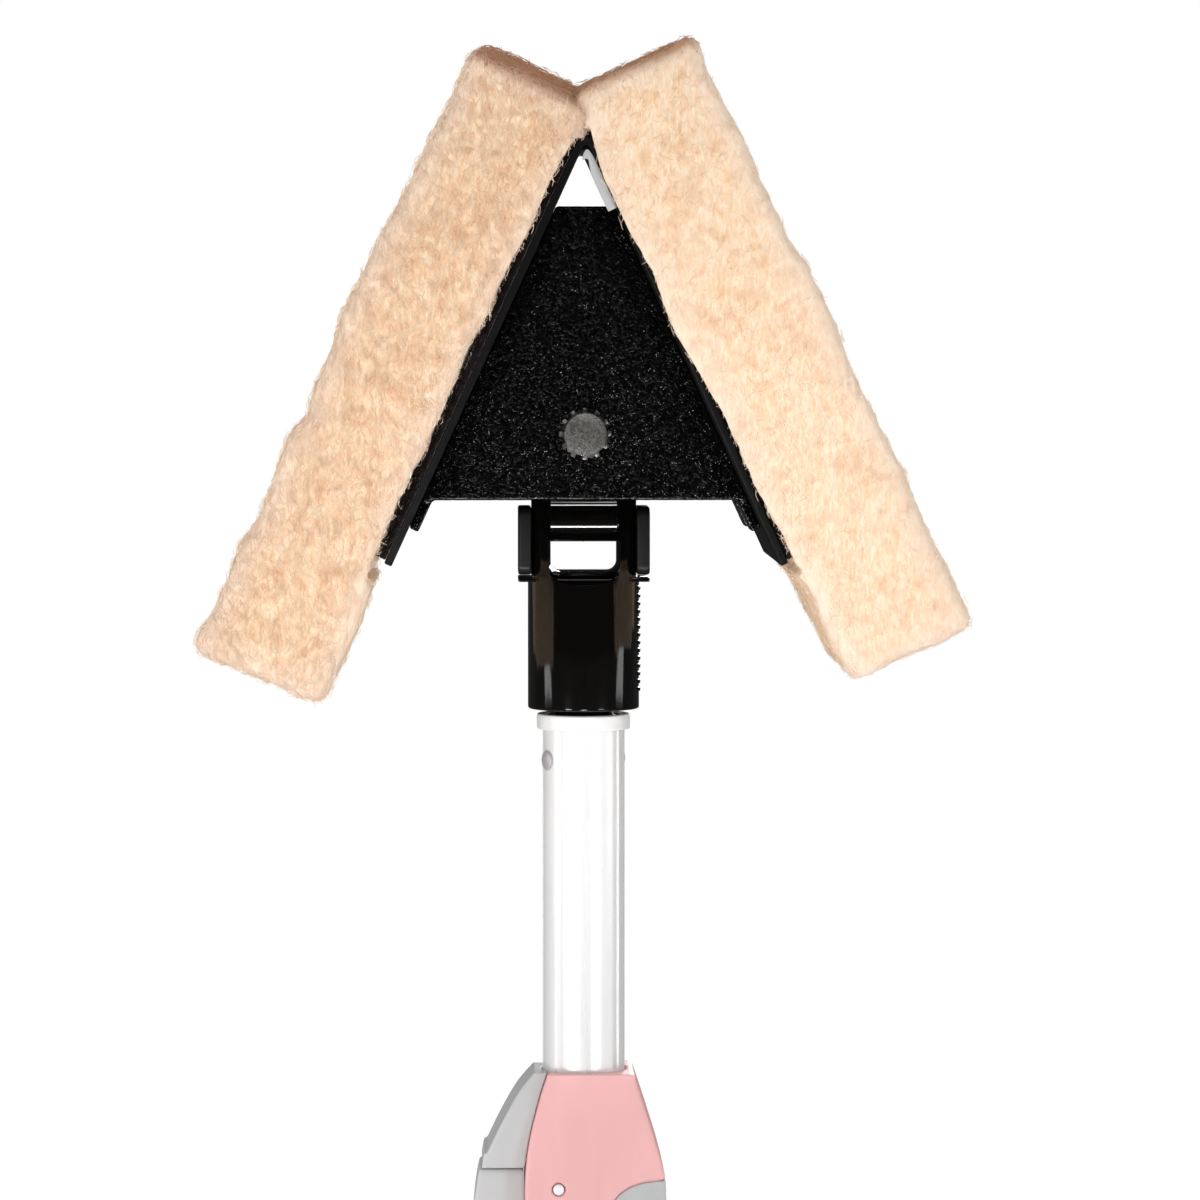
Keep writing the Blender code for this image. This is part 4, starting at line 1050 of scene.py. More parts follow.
@dataclass(frozen=True)
class VPlate:
    """The bent sheet and the hook tape on its two outer faces."""

    thickness: float = PLATE_THICKNESS
    bend: float = 0.0037
    leg: float = PLATE_LEG
    half_depth: float = PLATE_DEPTH
    tape_start: float = 0.0070
    tape_thickness: float = 0.0017
    tape_half_depth: float = 0.0455
    hooks: int = 3000

    def sheet(self) -> bpy.types.Object:
        """The sheet, with its round bend and eased edges."""
        angle = math.degrees(HALF_ANGLE)
        centre = (0.0, APEX_Z - self.bend / math.sin(HALF_ANGLE))
        inner = self.thickness + 0.00026
        outline = [leg_point(1, self.leg, 0.0), *arc(centre, self.bend, angle, 180 - angle, 20),
                   leg_point(-1, self.leg, 0.0), leg_point(-1, self.leg, -inner),
                   *arc(centre, self.bend - inner, 180 - angle, angle, 14),
                   leg_point(1, self.leg, -inner)]
        item = prism("v_plate_sheet", outline, -self.half_depth, self.half_depth)
        return soften(item, 0.0005, 2, 40.0)

    def tape(self, side: int, name: str) -> bpy.types.Object:
        """One strip of hook tape."""
        item = leg_box(name, side, (self.tape_start, self.leg - 0.0010),
                       (SEAM, GAP + self.tape_thickness),
                       (-self.tape_half_depth, self.tape_half_depth))
        return soften(item, 0.0004, 2)

    def tape_bend(self) -> bpy.types.Object:
        """The tape's fold over the sheet's bend."""
        angle = math.degrees(HALF_ANGLE)
        centre = (0.0, APEX_Z - self.bend / math.sin(HALF_ANGLE))
        start, top = self.tape_start + 0.0003, GAP + self.tape_thickness
        outline = [leg_point(1, start, top),
                   *arc(centre, self.bend + top, angle, 180 - angle, 20),
                   leg_point(-1, start, top), leg_point(-1, start, SEAM),
                   *arc(centre, self.bend + SEAM, 180 - angle, angle, 14),
                   leg_point(1, start, SEAM)]
        return prism("tape_bend", outline, -self.tape_half_depth, self.tape_half_depth)

    def hook_fringe(self, side: int, name: str) -> bpy.types.Object:
        """Hooks and torn fibre ends that stick out along the tape's edges.

        Args:
            side: -1 for the left leg and 1 for the right one.
            name: The fringe's name.

        Returns:
            The fringe.
        """
        rng = np.random.default_rng(40 + side)
        count = self.hooks
        along = rng.uniform(self.bend, self.leg - 0.0015, count)
        out = rng.uniform(GAP + 0.0004, GAP + self.tape_thickness + 0.0004, count)
        face = np.where(rng.random(count) < 0.7, -1.0, 1.0)
        reach = rng.uniform(0.0005, 0.0019, count)
        drift = rng.normal(0.0, 0.0009, count)
        spread = rng.normal(0.0004, 0.0007, count)
        lines = np.empty((count, 3, 3))
        for step, share in enumerate((0.0, 0.55, 1.0)):
            a = along + drift * share
            b = out + spread * share * share
            across = math.sin(HALF_ANGLE) * a + math.cos(HALF_ANGLE) * b
            lines[:, step, 0] = side * across
            lines[:, step, 1] = face * (self.tape_half_depth - 0.0003 + reach * share)
            lines[:, step, 2] = APEX_Z - math.cos(HALF_ANGLE) * a + math.sin(HALF_ANGLE) * b
        return strands(name, lines, (1.2, 1.0, 0.6), 0.00010)

    def edge_strip(self) -> bpy.types.Object:
        """The thin pale strip on the right leg's inner face, above the web."""
        near, far = -self.thickness - 0.0004, -self.thickness - 0.0032
        outline = [(-0.0012, 0.6690), (-0.0008, 0.6712), (0.0, 0.6722), (0.0008, 0.6720),
                   leg_point(1, 0.0110, near), leg_point(1, 0.0276, near),
                   leg_point(1, 0.0276, far), leg_point(1, 0.0150, far), (0.0006, 0.6692),
                   (-0.0002, 0.6694)]
        item = prism("edge_strip", outline, -0.0466, -0.0440)
        return soften(item, 0.0002, 2, 40.0)

    def build(self, finishes: Finishes) -> None:
        """Make the sheet, the strip and both tapes."""
        publish(self.sheet(), Rider.HEAD, finishes.plate, "black_plate", "v_plate")
        publish(self.tape_bend(), Rider.HEAD, finishes.tape, "hook_tape")
        publish(self.edge_strip(), Rider.HEAD, finishes.soft_grey, "grey_soft")
        for side, name in ((-1, "left"), (1, "right")):
            publish(self.tape(side, f"tape_{name}"), Rider.HEAD, finishes.tape, "hook_tape",
                    f"hook_tape_{name}")
            publish(self.hook_fringe(side, f"tape_{name}_hooks"), Rider.HEAD, finishes.tape,
                    "hook_tape")


@dataclass(frozen=True)
class Bracket:
    """A pressed bracket under a coarse powder coat, with its four rivets."""

    where: str
    seed: float
    cell: float = 0.00065
    coarse: float = 0.00005
    fine: float = 0.00002
    rivet_y: float = 0.0170
    rivet_radius: float = 0.0038
    rivet_height: float = 0.0015

    def body(self) -> bpy.types.Object:
        """The bracket with its lumpy coat."""
        item = remesh(copy_node(f"bracket_{self.where}"), self.cell)
        shift = Vector((self.seed, 0.0, 0.0))

        def grit(place: Vector, normal: Vector) -> Vector:
            """The coat's lumps, along the normal."""
            lump = noise.noise(place * 560.0 + shift)
            grain = noise.noise(place * 1150.0 + shift)
            return normal * (self.coarse * lump + self.fine * grain)

        shift_points(item, grit)
        item.data.shade_smooth()
        return item

    def rivet(self, side: int, z: float) -> bpy.types.Object:
        """One domed rivet head on a flange, with its axis square to the leg."""
        face = -PLATE_THICKNESS - FLANGE_THICKNESS - 2 * GAP
        along = APEX_Z / math.cos(HALF_ANGLE) - z / math.cos(HALF_ANGLE)
        x, up = leg_point(side, along, face)
        out = Vector((side * math.cos(HALF_ANGLE), 0.0, math.sin(HALF_ANGLE)))
        radius, height = self.rivet_radius, self.rivet_height
        dome = [(radius * math.cos(math.radians(a)), height * math.sin(math.radians(a)))
                for a in range(0, 90, 12)]
        profile = [(0.0, -0.0040), (0.0020, -0.0040), (0.0020, 0.0), *dome, (0.0, height)]
        turn = (-out).to_track_quat('Z', 'Y').to_matrix().to_4x4()
        y = -self.rivet_y if self.where == "front" else self.rivet_y
        name = f"{self.where}_rivet_{'left' if side < 0 else 'right'}_{round(z * 1000)}"
        return lathe(name, profile, 40, Matrix.Translation((x, y, up)) @ turn)

    def build(self, finishes: Finishes) -> None:
        """Make the bracket and its rivets."""
        publish(self.body(), Rider.HEAD, finishes.powder, "textured_black",
                f"bracket_{self.where}")
        for side, hand in ((-1, "left"), (1, "right")):
            for z, level in ((0.5760, "low"), (0.6260, "high")):
                publish(self.rivet(side, z), Rider.HEAD, finishes.satin_black, "black_rivet",
                        f"rivet_{self.where}_{hand}_{level}")


@dataclass(frozen=True)
class PivotBolt:
    """The hex bolt, its washers, spacers and lock nut."""

    radius: float = 0.0040
    corner: float = 0.0075
    height: float = 0.0053
    seat: float = -0.0295
    end: float = 0.0405
    pitch: float = 0.00125
    marks: int = 12
    teeth: int = 12

    def hexagon(self, name: str, turn: float, low: float, high: float) -> bpy.types.Object:
        """A six-sided prism along Y."""
        points = [(self.corner * math.cos(turn + math.radians(60 * step)),
                   BOLT_Z + self.corner * math.sin(turn + math.radians(60 * step)))
                  for step in range(6)]
        return prism(name, points, low, high)

    def head_turn(self) -> float:
        """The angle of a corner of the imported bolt's head."""
        points = node_points("pivot_bolt")
        points = points[points[:, 1] < self.seat - 0.001]
        reach = np.hypot(points[:, 0], points[:, 2] - BOLT_Z)
        tip = points[int(reach.argmax())]
        return math.atan2(tip[2] - BOLT_Z, tip[0])

    def bolt(self) -> bpy.types.Object:
        """The bolt, with a chamfered head, raised marks and a threaded end."""
        top = self.seat - self.height
        item = self.hexagon("bolt", self.head_turn(), top, self.seat)
        rim = self.corner * 0.84
        form = lathe("form", [(0.0, 0.0), (rim, 0.0), (self.corner * 1.02, 0.00130),
                              (self.corner * 1.02, self.height), (0.0, self.height)], 96,
                     along_y(0.0, top, BOLT_Z))
        cut(item, form, 'INTERSECT')
        soften(item, 0.00018, 2, 18.0)
        profile = [(0.0, 0.0), (self.radius, 0.0)]
        start, length = 0.030, self.end - self.seat
        profile += [(self.radius, start)]
        step = start
        while step < length - 0.0014:
            profile += [(self.radius, step), (self.radius - 0.00062, step + self.pitch / 2)]
            step += self.pitch
        profile += [(self.radius - 0.0003, step), (self.radius - 0.0010, length), (0.0, length)]
        shank = lathe("shank", profile, 48, along_y(0.0, self.seat - 0.0004, BOLT_Z))
        pieces = [shank, *self.mark_ring(top)]
        return join(item, pieces)

    def mark_ring(self, top: float) -> list[bpy.types.Object]:
        """Plain raised strokes round the head's face.

        Args:
            top: The Y of the head's face.

        Returns:
            The strokes.
        """
        strokes = []
        for step in range(self.marks):
            if step in (3, 9):
                continue
            angle = math.tau * (step + 0.3) / self.marks
            long = 0.00120 if step % 3 else 0.00080
            lean = Matrix.Rotation(math.radians(18 if step % 2 else 72), 4, 'Y')
            place = Matrix.Rotation(-angle, 4, 'Y') @ Matrix.Translation((0.0044, 0.0, 0.0))
            strokes.append(chip(f"mark_{step}", (0.00026, 0.00030, long), 0.00006, 1,
                                Matrix.Translation((0.0, top, BOLT_Z)) @ place @ lean))
        return strokes

    def star_washer(self) -> bpy.types.Object:
        """The toothed lock washer, with each tooth twisted a little."""
        near = -BRACKET_DEPTH - GAP
        ring = [(0.0043, 0.0), (0.0066, 0.0), (0.0066, 0.0008), (0.0043, 0.0008)]
        item = lathe("star_ring", ring, 72, along_y(0.0, near - 0.00085, BOLT_Z))
        teeth = []
        centre = Matrix.Translation((0.0, near - 0.00045, BOLT_Z))
        slide = Matrix.Translation((0.0070, 0.0, 0.0))
        twist = Matrix.Rotation(math.radians(11.0), 4, 'X')
        for step in range(self.teeth):
            turn = Matrix.Rotation(-math.tau * step / self.teeth, 4, 'Y')
            teeth.append(chip(f"tooth_{step}", (0.0017, 0.00075, 0.0015), 0.00012, 2,
                              centre @ turn @ slide @ twist))
        return join(item, teeth)

    def nut(self) -> bpy.types.Object:
        """The lock nut, with its round collar."""
        low = BRACKET_DEPTH + 2 * GAP + FLAT_WASHER
        item = self.hexagon("nut", math.radians(30.0), low, low + 0.0080)
        wide = self.corner * 1.02
        form = lathe("form", [(0.0, 0.0), (self.corner * 0.9, 0.0), (wide, 0.0009),
                              (wide, 0.0052), (self.corner * 0.86, 0.0062),
                              (0.0056, 0.0066), (0.0053, 0.0080), (0.0, 0.0080)], 96,
                     along_y(0.0, low, BOLT_Z))
        cut(item, form, 'INTERSECT')
        cut(item, rod(self.radius + GAP, -0.01, 0.03, 64, along_y(0.0, low, BOLT_Z)))
        return soften(item, 0.0002, 2, 18.0)

    def tube(self, name: str, near: float, far: float, outer: float, ease: float
             ) -> bpy.types.Object:
        """A short tube on the bolt, with eased ends."""
        inner, length = self.radius + GAP, far - near
        profile = [(inner, 0.0), (outer - ease, 0.0), (outer, ease), (outer, length - ease),
                   (outer - ease, length), (inner, length)]
        return lathe(name, profile, 72, along_y(0.0, near, BOLT_Z))

    def build(self, finishes: Finishes) -> None:
        """Make the bolt and everything on it."""
        publish(self.bolt(), Rider.HEAD, finishes.stainless, "stainless", "pivot_bolt")
        publish(self.star_washer(), Rider.HEAD, finishes.dark_steel, "stainless", "star_washer")
        publish(self.nut(), Rider.HEAD, finishes.stainless, "stainless", "lock_nut")
        rear = BRACKET_DEPTH + GAP
        publish(self.tube("washer", rear, rear + FLAT_WASHER, 0.0080, 0.0002), Rider.HEAD,
                finishes.stainless, "stainless", "flat_washer")
        near, far = 0.0072, 0.0251
        publish(self.tube("front_tube", -far, -near, 0.0066, 0.0003), Rider.HEAD,
                finishes.steel, "steel", "spacer_front")
        publish(self.tube("rear_tube", near, far, 0.0066, 0.0003), Rider.HEAD,
                finishes.steel, "steel", "spacer_rear")


@dataclass(frozen=True)
class SwivelBlock:
    """The barrel on the cross pin and the tongue that the bolt goes through."""

    half_width: float = 0.01015
    barrel: float = 0.0069
    depth: float = 0.0067

    def side_outline(self) -> list[Point2]:
        """The block from the side: a round foot, a waist under a lip, and the tongue."""
        start = 26.0
        foot = arc((0.0, PIVOT_Z), self.barrel, -180 - start, start, 40)
        waist = [(0.00620, 0.00302), (0.00585, 0.00362), (0.00578, 0.00418),
                 (0.00605, 0.00492), (self.depth, 0.00560)]
        right = curve_through([(y, PIVOT_Z + z) for y, z in waist], 5)
        top = BOLT_Z + self.half_width
        left = [(-y, z) for y, z in reversed(right)]
        return foot + right[1:] + [(self.depth, top), (-self.depth, top)] + left[:-1]

    def body(self) -> bpy.types.Object:
        """The block with its holes and the moulding's parting ridge."""
        item = prism("block", self.side_outline(), -self.half_width, self.half_width, "YZ")
        front = arc((0.0, BOLT_Z), self.half_width, 0, 180, 48)
        front = [(self.half_width, PIVOT_Z - 0.01), *front, (-self.half_width, PIVOT_Z - 0.01)]
        cut(item, prism("front_form", front, -0.02, 0.02), 'INTERSECT')
        soften(item, 0.00035, 2, 50.0)
        cut(item, rod(BOLT_HOLE, -0.02, 0.02, 64, along_y(0.0, 0.0, BOLT_Z)))
        cut(item, rod(PIN_HOLE, -0.02, 0.02, 64, along_x(0.0, 0.0, PIVOT_Z)))
        ridge = lathe("ridge", [(0.0036, -0.00013), (self.barrel + 0.00010, -0.00013),
                                (self.barrel + 0.00010, 0.00013), (0.0036, 0.00013)], 96,
                      along_x(0.0, 0.0, PIVOT_Z))
        return join(item, [ridge])

    def build(self, finishes: Finishes) -> None:
        """Make the block."""
        publish(even_normals(self.body()), Rider.SWIVEL, finishes.gloss_black, "gloss_black",
                "swivel_block")


@dataclass(frozen=True)
class Fork:
    """The moulded socket with its two arms, the caps over the pin, and the pin."""

    radius: float = 0.01715
    bottom: float = 0.5018
    bore: float = 0.0098
    bore_top: float = 0.5293
    slot: float = 0.0205
    floor: float = 0.5443
    tip: float = 0.0090
    face_x: float = 0.0161
    cap_bottom: float = 0.5434
    cap_top: float = 0.5643
    cap_depth: float = 0.0105
    cap_thickness: float = 0.0041

    def sleeve(self) -> bpy.types.Object:
        """The socket and arms, cut from a turned body."""
        top = PIVOT_Z + self.tip + 0.002
        rim = arc((self.radius - 0.0008, self.bottom + 0.0008), 0.0008, 0, -90, 6)
        profile = [(0.0, top), (self.radius, top), *rim, (self.bore, self.bottom),
                   (self.bore, self.bore_top), (0.0, self.bore_top)]
        item = lathe("sleeve", profile, 160)
        lean = 25.0
        side = [(0.0190, self.bottom - 0.01), (0.0190, self.floor - 0.0020)]
        side += arc((0.0, PIVOT_Z), self.tip, lean, 90, 24)
        side += [(-y, z) for y, z in reversed(side[:-1])]
        cut(item, prism("side_form", side, -0.03, 0.03, "YZ"), 'INTERSECT')
        cut(item, self.slot_tool())
        for sign in (-1, 1):
            near, far = sorted((sign * self.face_x, sign * 0.03))
            low, high = self.cap_bottom - 0.0008, PIVOT_Z + 0.03
            flat = prism("flat", [(-0.03, low), (0.03, low), (0.03, high), (-0.03, high)],
                         near, far, "YZ")
            cut(item, flat)
            root, tip = sorted((sign * (self.face_x - 0.002),
                                sign * (self.face_x + self.cap_thickness)))
            ledge = prism("ledge", [(-0.0090, low - 0.0014), (0.0090, low - 0.0014),
                                    (0.0090, low), (-0.0090, low)], root, tip, "YZ")
            cut(item, soften(ledge, 0.0004, 2), 'UNION')
        soften(item, 0.00045, 3, 32.0)
        cut(item, rod(PIN_HOLE, -0.03, 0.03, 64, along_x(0.0, 0.0, PIVOT_Z)))
        shade(item.data, 32.0)
        return join(item, [*self.mould_lines(), *self.side_ribs()])

    def slot_tool(self) -> bpy.types.Object:
        """The slot between the arms, whose floor slopes down at the front and the rear."""
        half, corner = self.slot / 2, 0.0030
        points = [(half, PIVOT_Z + 0.03)]
        points += arc((half - corner, self.floor + corner), corner, 0, -90, 14)
        points = mirrored(points)
        tool = prism("slot", points, -0.0095, 0.0095)
        for sign in (-1, 1):
            bm = bmesh.new()
            loops = []
            for y, drop, wide in ((sign * 0.0090, 0.0, 0.0), (sign * 0.0190, 0.0046, 0.0016)):
                loops.append([bm.verts.new((x * (1.0 + wide / half), y,
                                            z - drop * max(0.0, 1.0 - (z - self.floor) / 0.012)))
                              for x, z in points])
            bm.faces.new(loops[0])
            bm.faces.new(list(reversed(loops[1])))
            edges = [bm.edges.get((ring[index - 1], ring[index])) for ring in loops
                     for index in range(len(points))]
            bmesh.ops.bridge_loops(bm, edges=edges)
            bmesh.ops.recalc_face_normals(bm, faces=bm.faces)
            cut(tool, piece_from(bm, "slope"), 'UNION')
        return tool

    def mould_lines(self) -> list[bpy.types.Object]:
        """The moulding's parting ridge down the front and the rear."""
        ridges = []
        for sign in (-1, 1):
            y = sign * self.radius
            near, far = sorted((y - sign * 0.0003, y + sign * 0.00007))
            foot, top, half = self.bottom + 0.0012, 0.5402, 0.00011
            ridges.append(prism("ridge", [(-half, foot), (half, foot), (half, top),
                                          (-half, top)], near, far))
        return ridges

    def side_ribs(self) -> list[bpy.types.Object]:
        """A ladder of low grip ribs down the sleeve's right side."""
        ribs = []
        for step in range(14):
            z = 0.5072 + step * 0.0024
            outline = arc((0.0, 0.0), self.radius + 0.00042, -15, 15, 12)
            outline += arc((0.0, 0.0), self.radius - 0.0006, 15, -15, 12)
            ribs.append(soften(prism(f"rib_{step}", outline, z, z + 0.0013, "XY"),
                               0.0002, 2, 40.0))
        return ribs

    def cap(self, sign: int, name: str) -> bpy.types.Object:
        """A rounded cover over one end of the pin."""
        corner = 0.0030
        middle = self.cap_depth - corner
        half = arc((middle, self.cap_bottom + corner), corner, -90, 0, 10)
        half += arc((middle, self.cap_top - corner), corner, 0, 90, 10)
        near, far = sorted((sign * (self.face_x + SEAM),
                            sign * (self.face_x + self.cap_thickness)))
        item = soften(prism(name, mirrored(half), near, far, "YZ"), 0.0007, 3)
        dent = lathe("dent", [(0.0, 0.0), (0.0026, 0.0), (0.0032, 0.0006), (0.0032, 0.002),
                              (0.0, 0.002)], 48,
                     Matrix.Translation((sign * (self.face_x + self.cap_thickness - 0.0006),
                                         0.0, PIVOT_Z - 0.004))
                     @ Matrix.Rotation(sign * math.pi / 2, 4, 'Y'))
        return cut(item, dent)

    def build(self, finishes: Finishes) -> None:
        """Make the sleeve, the caps and the pin."""
        publish(self.sleeve(), Rider.UPPER_POLE, finishes.gloss_black, "gloss_black",
                "fork_sleeve")
        for sign, hand in ((-1, "left"), (1, "right")):
            cap = self.cap(sign, f"cap_{hand}")
            cap.data.set_sharp_from_angle(angle=math.radians(35.0))
            publish(cap, Rider.UPPER_POLE, finishes.satin_black, "gloss_black",
                    f"pivot_cap_{hand}")
        pin = lathe("pin", [(0.0, -self.face_x), (0.0026, -self.face_x), (0.0030, -0.0157),
                            (0.0030, 0.0157), (0.0026, self.face_x), (0.0, self.face_x)], 48,
                    along_x(0.0, 0.0, PIVOT_Z))
        publish(pin, Rider.UPPER_POLE, finishes.steel, "steel", "cross_pin")


@dataclass(frozen=True)
class Pole:
    """Both tubes, the ring, rivets, tip and bush, and the grip and cap below."""

    upper_radius: float = 0.0127
    upper_wall: float = 0.0012
    upper_bottom: float = 0.1400
    upper_top: float = 0.5000
    lower_radius: float = 0.0159
    lower_wall: float = 0.0015
    flutes: int = 8
    flute_turn: float = -84.0
    flute_half: float = 6.5
    flute_depth: float = 0.00042
    ring_radius: float = 0.0144
    ring_bottom: float = 0.4954
    ring_height: float = 0.0049
    rivet_z: float = 0.4861
    rivet_turn: float = 62.0

    def fluted_outline(self) -> list[Point2]:
        """The upper tube's section: round, with shallow grooves along it."""
        points = []
        for step in range(720):
            angle = step / 2.0
            near = min(abs((angle - self.flute_turn - 360 * k / self.flutes + 180) % 360 - 180)
                       for k in range(self.flutes))
            share = max(0.0, 1.0 - (near / self.flute_half) ** 2)
            keep = near < self.flute_half + 2.5 or step % 4 == 0
            if not keep:
                continue
            reach = self.upper_radius - self.flute_depth * min(1.0, share * 1.6)
            points.append((reach * math.cos(math.radians(angle)),
                           reach * math.sin(math.radians(angle))))
        return points

    def rivet_axis(self) -> Vector:
        """The direction of the left rivet from the pole's axis."""
        turn = math.radians(self.rivet_turn)
        return Vector((-math.sin(turn), -math.cos(turn), 0.0))

    def upper_tube(self) -> bpy.types.Object:
        """The fluted tube."""
        item = prism("inner_tube", self.fluted_outline(), self.upper_bottom, self.upper_top, "XY")
        inner = self.upper_radius - self.upper_wall
        cut(item, rod(inner, 0.1, 0.6, 96))
        turn = self.rivet_axis().to_track_quat('Z', 'Y').to_matrix().to_4x4()
        cut(item, rod(0.0025, -0.02, 0.02, 48,
                      Matrix.Translation((0.0, 0.0, self.rivet_z)) @ turn))
        shade(item.data, 30.0)
        return item

    def rivet(self, sign: int, name: str) -> bpy.types.Object:
        """A low domed rivet head, with its shank in the tube."""
        out = self.rivet_axis() * sign
        seat = self.upper_radius + 0.0001
        dome = [(0.0031 * math.cos(math.radians(a)), seat + 0.0010 * math.sin(math.radians(a)))
                for a in range(0, 90, 10)]
        profile = [(0.0, 0.0040), (0.0022, 0.0040), (0.0022, seat), *dome, (0.0, seat + 0.0010)]
        turn = out.to_track_quat('Z', 'Y').to_matrix().to_4x4()
        return lathe(name, profile, 48, Matrix.Translation((0.0, 0.0, self.rivet_z)) @ turn)

    def ring(self) -> bpy.types.Object:
        """The rolled collar, a little uneven from its rolling."""
        inner, top = self.upper_radius + GAP, self.ring_bottom + self.ring_height
        outer, low = self.ring_radius, self.ring_bottom
        profile = [(inner, low), (outer - 0.0012, low), *arc((outer - 0.0008, low + 0.0008),
                   0.0008, -60, 0, 5), *[(outer, low + 0.0010 + 0.0003 * k) for k in range(9)],
                   *arc((outer - 0.0006, top - 0.0006), 0.0006, 0, 90, 5), (inner, top)]
        item = lathe("collar", profile, 144)

        def rolled(place: Vector, normal: Vector) -> Vector:
            """Slight waves, level with the floor."""
            flat = Vector((normal.x, normal.y, 0.0))
            return flat * (0.00007 * noise.noise(place * 420.0) + 0.00005 *
                           noise.noise(place * 950.0))

        shift_points(item, rolled)
        return item

    def lower_tube(self) -> bpy.types.Object:
        """The plain outer tube."""
        inner, outer = self.lower_radius - self.lower_wall, self.lower_radius
        return lathe("outer_tube", [(inner, 0.0065), (outer - 0.0002, 0.0065), (outer, 0.0067),
                                    (outer, 0.3718), (outer - 0.0002, 0.3720),
                                    (inner, 0.3720)], 128)

    def grip(self) -> bpy.types.Object:
        """The soft grip, with a collar at each end and grooves between."""
        bore, body, collar = self.lower_radius + GAP, 0.0196, 0.0208
        low, high = 0.0100, 0.1680
        profile = [(bore, low), (body - 0.0010, low), (collar, low + 0.0016),
                   (collar, low + 0.0060), (body, low + 0.0085)]
        place = low + 0.0150
        while place < high - 0.0180:
            profile += [(body, place), (body - 0.0002, place + 0.0004),
                        (body - 0.0011, place + 0.0010), (body - 0.0011, place + 0.0018),
                        (body - 0.0002, place + 0.0024), (body, place + 0.0028)]
            place += 0.0072
        profile += [(body, high - 0.0085), (collar, high - 0.0060), (collar, high - 0.0016),
                    (body - 0.0010, high), (bore, high)]
        return lathe("grip", profile, 112)

    def cap(self) -> bpy.types.Object:
        """The plug with the rim that the pole stands on."""
        plug = self.lower_radius - self.lower_wall - GAP
        rim = arc((0.0162, 0.0020), 0.0020, -90, 0, 6) + arc((0.0174, 0.0054), 0.0008, 0, 90, 4)
        profile = [(0.0, 0.0), *rim, (plug, 0.0062), (plug, 0.0268), (plug - 0.0008, 0.0280),
                   (0.0, 0.0280)]
        return lathe("plug", profile, 112)

    def bush(self) -> bpy.types.Object:
        """The guide bush on the upper tube's foot."""
        outer, seat = self.lower_radius - self.lower_wall - GAP, self.upper_radius + GAP
        foot, bore = self.upper_bottom - GAP, 0.0095
        return lathe("bush", [(bore, foot - 0.0030), (outer - 0.0006, foot - 0.0030),
                              (outer, foot - 0.0024), (outer, 0.1654), (outer - 0.0006, 0.1660),
                              (seat, 0.1660), (seat, foot), (bore, foot)], 96)

    def tip(self) -> bpy.types.Object:
        """The tip, with a coarse round thread on its upper end."""
        shank = self.upper_radius - self.upper_wall - GAP
        profile = [(0.0, 0.4700), (shank - 0.0008, 0.4700), (shank, 0.4708), (shank, 0.4990),
                   (0.0092, 0.5000)]
        place = 0.5012
        while place < 0.5268:
            profile += [(0.0083, place), (0.0093, place + 0.0008), (0.0093, place + 0.0014),
                        (0.0083, place + 0.0022)]
            place += 0.0034
        profile += [(0.0082, 0.5282), (0.0074, 0.5290), (0.0, 0.5290)]
        return lathe("tip", profile, 80)

    def build(self, finishes: Finishes) -> None:
        """Make the pole's pieces."""
        upper, lower = Rider.UPPER_POLE, Rider.LOWER_POLE
        publish(self.upper_tube(), upper, finishes.tube, "pale_tube", "upper_tube")
        publish(self.ring(), upper, finishes.ring, "pale_ring", "tip_ring")
        for sign, hand in ((1, "left"), (-1, "right")):
            publish(self.rivet(sign, f"tip_rivet_{hand}_dome"), upper, finishes.button, "steel",
                    f"tip_rivet_{hand}")
        publish(self.tip(), upper, finishes.satin_black, "inner_plastic", "pole_tip")
        publish(self.bush(), upper, finishes.satin_black, "inner_plastic", "guide_bush")
        publish(self.lower_tube(), lower, finishes.tube, "pale_tube", "lower_tube")
        publish(self.grip(), lower, finishes.rubber, "grip_rubber", "hand_grip")
        publish(self.cap(), lower, finishes.grey, "grey_plastic", "end_cap")


